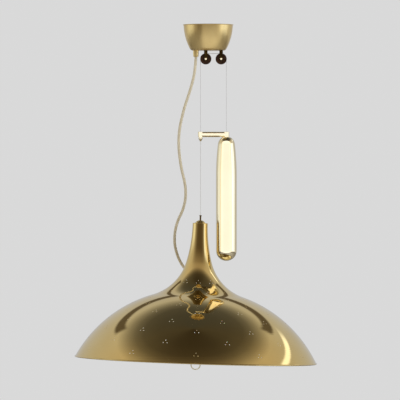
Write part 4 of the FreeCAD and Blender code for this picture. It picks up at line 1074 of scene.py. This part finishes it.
# %% Browned brass
browned = Recipe("browned_brass", Metallic=1.0)
browned.tint(90, (0.12, 0.085, 0.035), (0.30, 0.22, 0.095), detail=5, reach=0.75)
browned.wear(200, 0.25, 0.45)
paint(browned.material, "left_pulley_fork_smooth", "right_pulley_fork_smooth", "wire_terminal",
      "fork_nuts")

# %% [markdown]
# What carries the lamp inside is steel, zinc plated against rust: two close greys with a fine
# grain.

# %% Zinc-plated steel
zinc = Recipe("zinc_plated_steel", Metallic=1.0)
zinc.tint(160, (0.52, 0.52, 0.50), (0.66, 0.66, 0.64))
zinc.wear(300, 0.25, 0.42)
paint(zinc.material, "hanger_tube_smooth", "ceiling_bracket_smooth", "carrier_plate_smooth",
      "grub_screws_smooth", "block_screw", "neck_washer", "neck_nut", "carrier_nuts",
      "lampholder_nuts", "arm_spigots", "wire_ferrule", "weight_nut", "weight_ballast")

# %% [markdown]
# The suspension wire is bright steel. Its strands are in the mesh, so the finish only needs a
# very fine grain.

# %% Bright stranded steel
bright = Recipe("bright_wire", Metallic=1.0)
bright.tint(400, (0.44, 0.44, 0.43), (0.56, 0.56, 0.55))
bright.wear(700, 0.25, 0.4)
paint(bright.material, "wire_on_pulleys", "shade_wire_strands", "weight_wire_strands")

# %% [markdown]
# The shade is sprayed white inside, to throw the light down. Sprayed enamel shines but has a
# slight orange peel, which is a fine bump. It becomes the shade's second material: the inner
# faces were given that index when the mesh was made.

# %% White enamel inside the shade, and white parts
enamel = Recipe("white_enamel", Roughness=0.3)
enamel.tint(20, (0.84, 0.82, 0.76), (0.90, 0.88, 0.82))
enamel.bump(enamel.noise(enamel.place(), 500, 2), 0.08, 0.0003)
paint(enamel.material, "lamp_carrier_smooth", "terminal_block_smooth", "ceramic_holder_1",
      "ceramic_holder_2", "ceramic_holder_3")
bpy.data.objects["brass_shade"].data.materials.append(enamel.material)

# %% [markdown]
# Bakelite is filled with wood flour, so its near-black brown is faintly speckled.

# %% Dark bakelite
bakelite = Recipe("dark_bakelite", Roughness=0.3)
bakelite.tint(150, (0.022, 0.012, 0.008), (0.07, 0.032, 0.018), detail=6, reach=0.75)
paint(bakelite.material, "left_wheel_turned", "right_wheel_turned")

# %% [markdown]
# Opal glass lets light in and scatters it under the surface, which subsurface weight does.

# %% Opal glass
opal = Recipe("opal_glass_finish", Roughness=0.15, Subsurface_Weight=0.3)
opal.tint(25, (0.88, 0.87, 0.83), (0.93, 0.92, 0.89))
paint(opal.material, "opal_bulb_1", "opal_bulb_2", "opal_bulb_3")

# %% [markdown]
# The cotton follows the braid: the same two waves that raise its threads also paint light on
# them, a painted highlight pale on the crests and painted shade brown in the grooves. Fine noise
# along the threads makes the fibres.

# %% Woven cotton cord
cotton = Recipe("woven_cotton", Roughness=0.7, Sheen_Weight=0.2)
along_cord = cotton.place(source="UV")
u, v = (cotton.add("SeparateXYZ", {"Vector": along_cord}, axis) for axis in "XY")
crossings = [cotton.calc("COSINE", cotton.calc(
    "MULTIPLY_ADD", v, sign * 2 * math.pi / (BRAID_PITCH * MM),
    cotton.calc("MULTIPLY", u, 2 * math.pi * BRAID_THREADS))) for sign in (1, -1)]
# The braid's height as painted light: painted shade in the grooves, a painted highlight on the
# crests.
painted_light = cotton.range(cotton.calc("MULTIPLY", *crossings), -1, 1)
fibre = cotton.noise(cotton.place((60, 900, 1), source="UV"), 2, 3)
cotton.join(cotton.blend(cotton.calc("MULTIPLY_ADD", fibre, 0.35, cotton.calc(
    "MULTIPLY_ADD", painted_light, 0.8, -0.1)), (0.1, (0.42, 0.34, 0.19)), (0.45, (0.80, 0.72, 0.52)),
    (0.8, (0.93, 0.89, 0.76))), "Base Color")
cotton.bump(fibre, 0.3, 0.0002)
paint(cotton.material, "braided_supply_cord")

# %% [markdown]
# The grommet's rubber is dark and dull.

# %% Rubber
rubber = Recipe("brown_rubber_finish", Roughness=0.6)
rubber.tint(200, (0.03, 0.022, 0.015), (0.06, 0.045, 0.03))
paint(rubber.material, "rubber_grommet")

# %% [markdown]
# ## Studio
# A mirror shows the room around it, so the room is part of the finish. The world paints one by
# direction, because a few soft shapes are easier to place than walls and lamps would be. The
# camera itself sees a plain pale background past the lamp, while the lamp's reflections and
# the light on it come from the room. The helper adds what such painting needs: a soft edge, a
# band, a mix and a patch.

# %% Helper for the room
BACKGROUND = (0.695, 0.695, 0.695)


class Room(Recipe):
    def __init__(self):
        self.world = bpy.data.worlds.new("studio")
        self.world.use_nodes = True
        self.tree = self.world.node_tree
        self.shader = self.tree.nodes["Background"]
        bpy.context.scene.world = self.world

    def soft(self, value, low, high):
        """0 at low, 1 at high, with soft ends."""
        return self.add("MapRange", {"Value": value, "From Min": low, "From Max": high},
                        interpolation_type="SMOOTHSTEP")

    def band(self, value, centre, half, edge):
        away = self.calc("ABSOLUTE", self.calc("SUBTRACT", value, centre))
        return self.soft(away, half + edge, half - edge)

    def mix(self, factor, first, second):
        return self.add("Mix", {0: factor, 6: first, 7: second}, output=2, data_type="RGBA")

    def patch(self, picture, colour, first, *others):
        """Paints a colour over the picture where all these windows are open."""
        for other in others:
            first = self.calc("MULTIPLY", first, other)
        return self.mix(first, picture, (*colour, 1))


# %% [markdown]
# Everything in the room is placed with two measures of a direction: z is how high it points,
# and north is how far it turns round, from -1 at the camera to 1 behind the lamp. The walls are
# two rings of colour, brown round the camera and pale behind the lamp.

# %% Walls
room = Room()
direction = room.add("SeparateXYZ", {"Vector": room.add("TexCoord", {}, "Generated")})
x, y, z = (direction.node.outputs[axis] for axis in "XYZ")
level = room.calc("SQRT", room.calc("SUBTRACT", 1.0, room.calc("MULTIPLY", z, z)))
north = room.calc("DIVIDE", y, room.calc("MAXIMUM", level, 0.001))
around = room.range(north, -1, 1)
low = room.blend(
    around, (0.0, (0.10, 0.072, 0.04)), (0.08, (0.12, 0.09, 0.055)), (0.2, (0.27, 0.23, 0.17)),
    (0.35, (0.52, 0.47, 0.38)), (0.55, (0.58, 0.54, 0.46)), (1.0, (0.52, 0.53, 0.56)))
middle = room.blend(
    around, (0.0, (0.36, 0.29, 0.20)), (0.1, (0.40, 0.33, 0.24)), (0.3, (0.52, 0.45, 0.34)),
    (0.5, (0.58, 0.51, 0.40)), (1.0, (0.52, 0.52, 0.52)))
picture = room.mix(room.soft(z, 0.28, 0.62), low, middle)
print("world nodes for the walls:", len(room.tree.nodes))

# %% [markdown]
# A soft box stands low on each side and lights the shade's flanks, and a slim bar higher on
# the right makes the bright crescent near the rim. Each is a window in north and in z, given
# by its centre, half its width and the width of its soft edge.

# %% Soft boxes and bar
right, left = room.soft(x, 0.0, 0.05), room.soft(x, 0.0, -0.05)
for colour, side, sideways, upright in (
        ((1.2, 1.27, 1.4), right, (-0.13, 0.36, 0.08), (0.03, 0.29, 0.07)),
        ((0.95, 0.97, 0.95), left, (0.08, 0.34, 0.12), (0.0, 0.22, 0.10)),
        ((1.5, 1.55, 1.6), right, (0.5, 0.28, 0.08), (0.505, 0.028, 0.014))):
    picture = room.patch(
        picture, colour, side, room.band(north, *sideways), room.band(z, *upright))
print("world nodes with the soft boxes:", len(room.tree.nodes))

# %% [markdown]
# The pale wall behind the lamp ends in a dark gap that climbs towards both sides, and the
# shade mirrors it as two dark arms. Above it the room fades into a dark ceiling, which fills
# the middle of the dome.

# %% Gap and ceiling
GAP_HEIGHT, GAP_CLIMB, GAP_COLOUR = 0.50, 0.16, (0.12, 0.10, 0.075)
slope = room.calc("DIVIDE", room.calc("ABSOLUTE", x), room.calc("MAXIMUM", y, 0.01))
over_gap = room.calc("SUBTRACT", room.calc("SUBTRACT", z, GAP_HEIGHT),
                     room.calc("MULTIPLY", slope, GAP_CLIMB))
picture = room.patch(picture, GAP_COLOUR, room.band(over_gap, 0.0, 0.042, 0.016),
                     room.soft(slope, 1.25, 1.0), room.soft(y, 0.0, 0.05))
shades = room.blend(
    room.range(z, 0.6, 1), (0.18, grey(1.0)), (0.40, grey(0.50)), (0.53, grey(0.28)),
    (0.66, grey(0.17)), (0.85, grey(0.13)), (1.0, grey(0.12)))
picture = room.add("Mix", {0: 1.0, 6: picture, 7: shades}, output=2, data_type="RGBA",
                   blend_type="MULTIPLY")
seen = room.add("LightPath", {}, "Is Camera Ray")
room.join(room.mix(seen, picture, (*BACKGROUND, 1)), "Color")
print("world nodes:", len(room.tree.nodes))

# %% [markdown]
# Soft lamps light what isn't a mirror. They are kept out of reflections, where the painted
# room already stands for them. An area lamp does this best, because its shadows are soft.

# %% Soft lamps
SOFT_LAMP_SIZE, LAMP_AIM = 1.8, (0, 0, -0.4)


def soft_lamp(name, place, aim, power, width, height):
    lamp_data = bpy.data.lights.new(name, "AREA")
    lamp_data.shape = "RECTANGLE"
    lamp_data.energy, lamp_data.size, lamp_data.size_y = power, width, height
    lamp_object = bpy.data.objects.new(name, lamp_data)
    lamp_object.location = place
    lamp_object.rotation_euler = (Vector(aim) - Vector(place)).to_track_quat("-Z", "Y").to_euler()
    lamp_object.visible_camera = False
    bpy.context.scene.collection.objects.link(lamp_object)
    return lamp_object


for name, place, power in (("left_soft_lamp", (-2.2, -2.6, 1.0), 34),
                           ("right_soft_lamp", (2.4, -2.0, 0.6), 44),
                           ("floor_bounce", (0, 0, -1.7), 9)):
    soft_lamp(name, place, LAMP_AIM, power, SOFT_LAMP_SIZE, SOFT_LAMP_SIZE).visible_glossy = False
    print(name, power, "W")

# %% [markdown]
# The counterweight, its arm and the wires shine brightly while the shade stays dark. Panels
# close in front of them do that, one behind the other so that their edge is soft, and light
# linking keeps them off everything else. Another panel on the right lights only the canopy.

# %% Linked panels
PANEL_X, PANEL_Z, PANEL_HEIGHT = -0.08, -0.1, 1.5


def shine_only_on(lamp_object, *names):
    shone_on = bpy.data.collections.new(f"shone_on_by_{lamp_object.name}")
    for name in names:
        shone_on.objects.link(bpy.data.objects[name])
    lamp_object.light_linking.receiver_collection = shone_on
    print(lamp_object.name, "lights", len(names), "pieces")


for name, distance, reach, power, colour in (
        ("front_panel", 0.60, 1.75, 3.5, (1.0, 1.08, 1.35)),
        ("outer_panel", 0.62, 3.0, 4.6, (1.0, 1.0, 1.0)),
        ("widest_panel", 0.64, 5.0, 7.4, (1.0, 0.90, 0.70))):
    front = soft_lamp(name, (PANEL_X, -distance, PANEL_Z), (PANEL_X, 0, PANEL_Z), power, reach,
                      PANEL_HEIGHT)
    front.data.color = colour
    shine_only_on(
        front, "polished_counterweight", "wire_collar", "guide_tube_turned",
        "guide_cone_turned", "cross_arm_bar", "pulley_pins_smooth", "wire_on_pulleys",
        "shade_wire_strands", "weight_wire_strands")
shine_only_on(soft_lamp("canopy_panel", (1.0, -0.9, -0.5), (1.0, 0, -0.1), 4.4, 3.2, 1.2),
              "canopy_spun_cup", "cord_gland_nut")

# %% [markdown]
# The floor lies far below. It glows a little for the camera, so that it is as pale as the
# background, and is see-through from its back, so that the lamp can be looked at from
# underneath.

# %% Floor
FLOOR_DROP, FLOOR_RADIUS, FLOOR_GLOW = 1.75, 7, 0.60
nothing_selected()
bpy.ops.mesh.primitive_circle_add(
    vertices=96, radius=FLOOR_RADIUS, fill_type="NGON", location=(0, 0, 0))
floor = bpy.context.object
floor.name = "studio_floor"
put(floor, (0, 0, -FLOOR_DROP / MM))
floor_paint = Recipe("pale_floor", Roughness=0.9, Emission_Color=(*BACKGROUND, 1))
floor_paint.tint(2, grey(0.62), grey(0.64))
seen = floor_paint.add("LightPath", {}, "Is Camera Ray")
floor_paint.join(floor_paint.calc("MULTIPLY", seen, FLOOR_GLOW), "Emission Strength")
see_through = floor_paint.add("MixShader", {
    0: floor_paint.add("NewGeometry", {}, "Backfacing"), 1: floor_paint.shader.outputs[0],
    2: floor_paint.add("BsdfTransparent", {})})
floor_paint.tree.links.new(
    see_through, floor_paint.tree.nodes["Material Output"].inputs["Surface"])
paint(floor_paint.material, "studio_floor")
bpy.context.scene.view_settings.view_transform = "Standard"
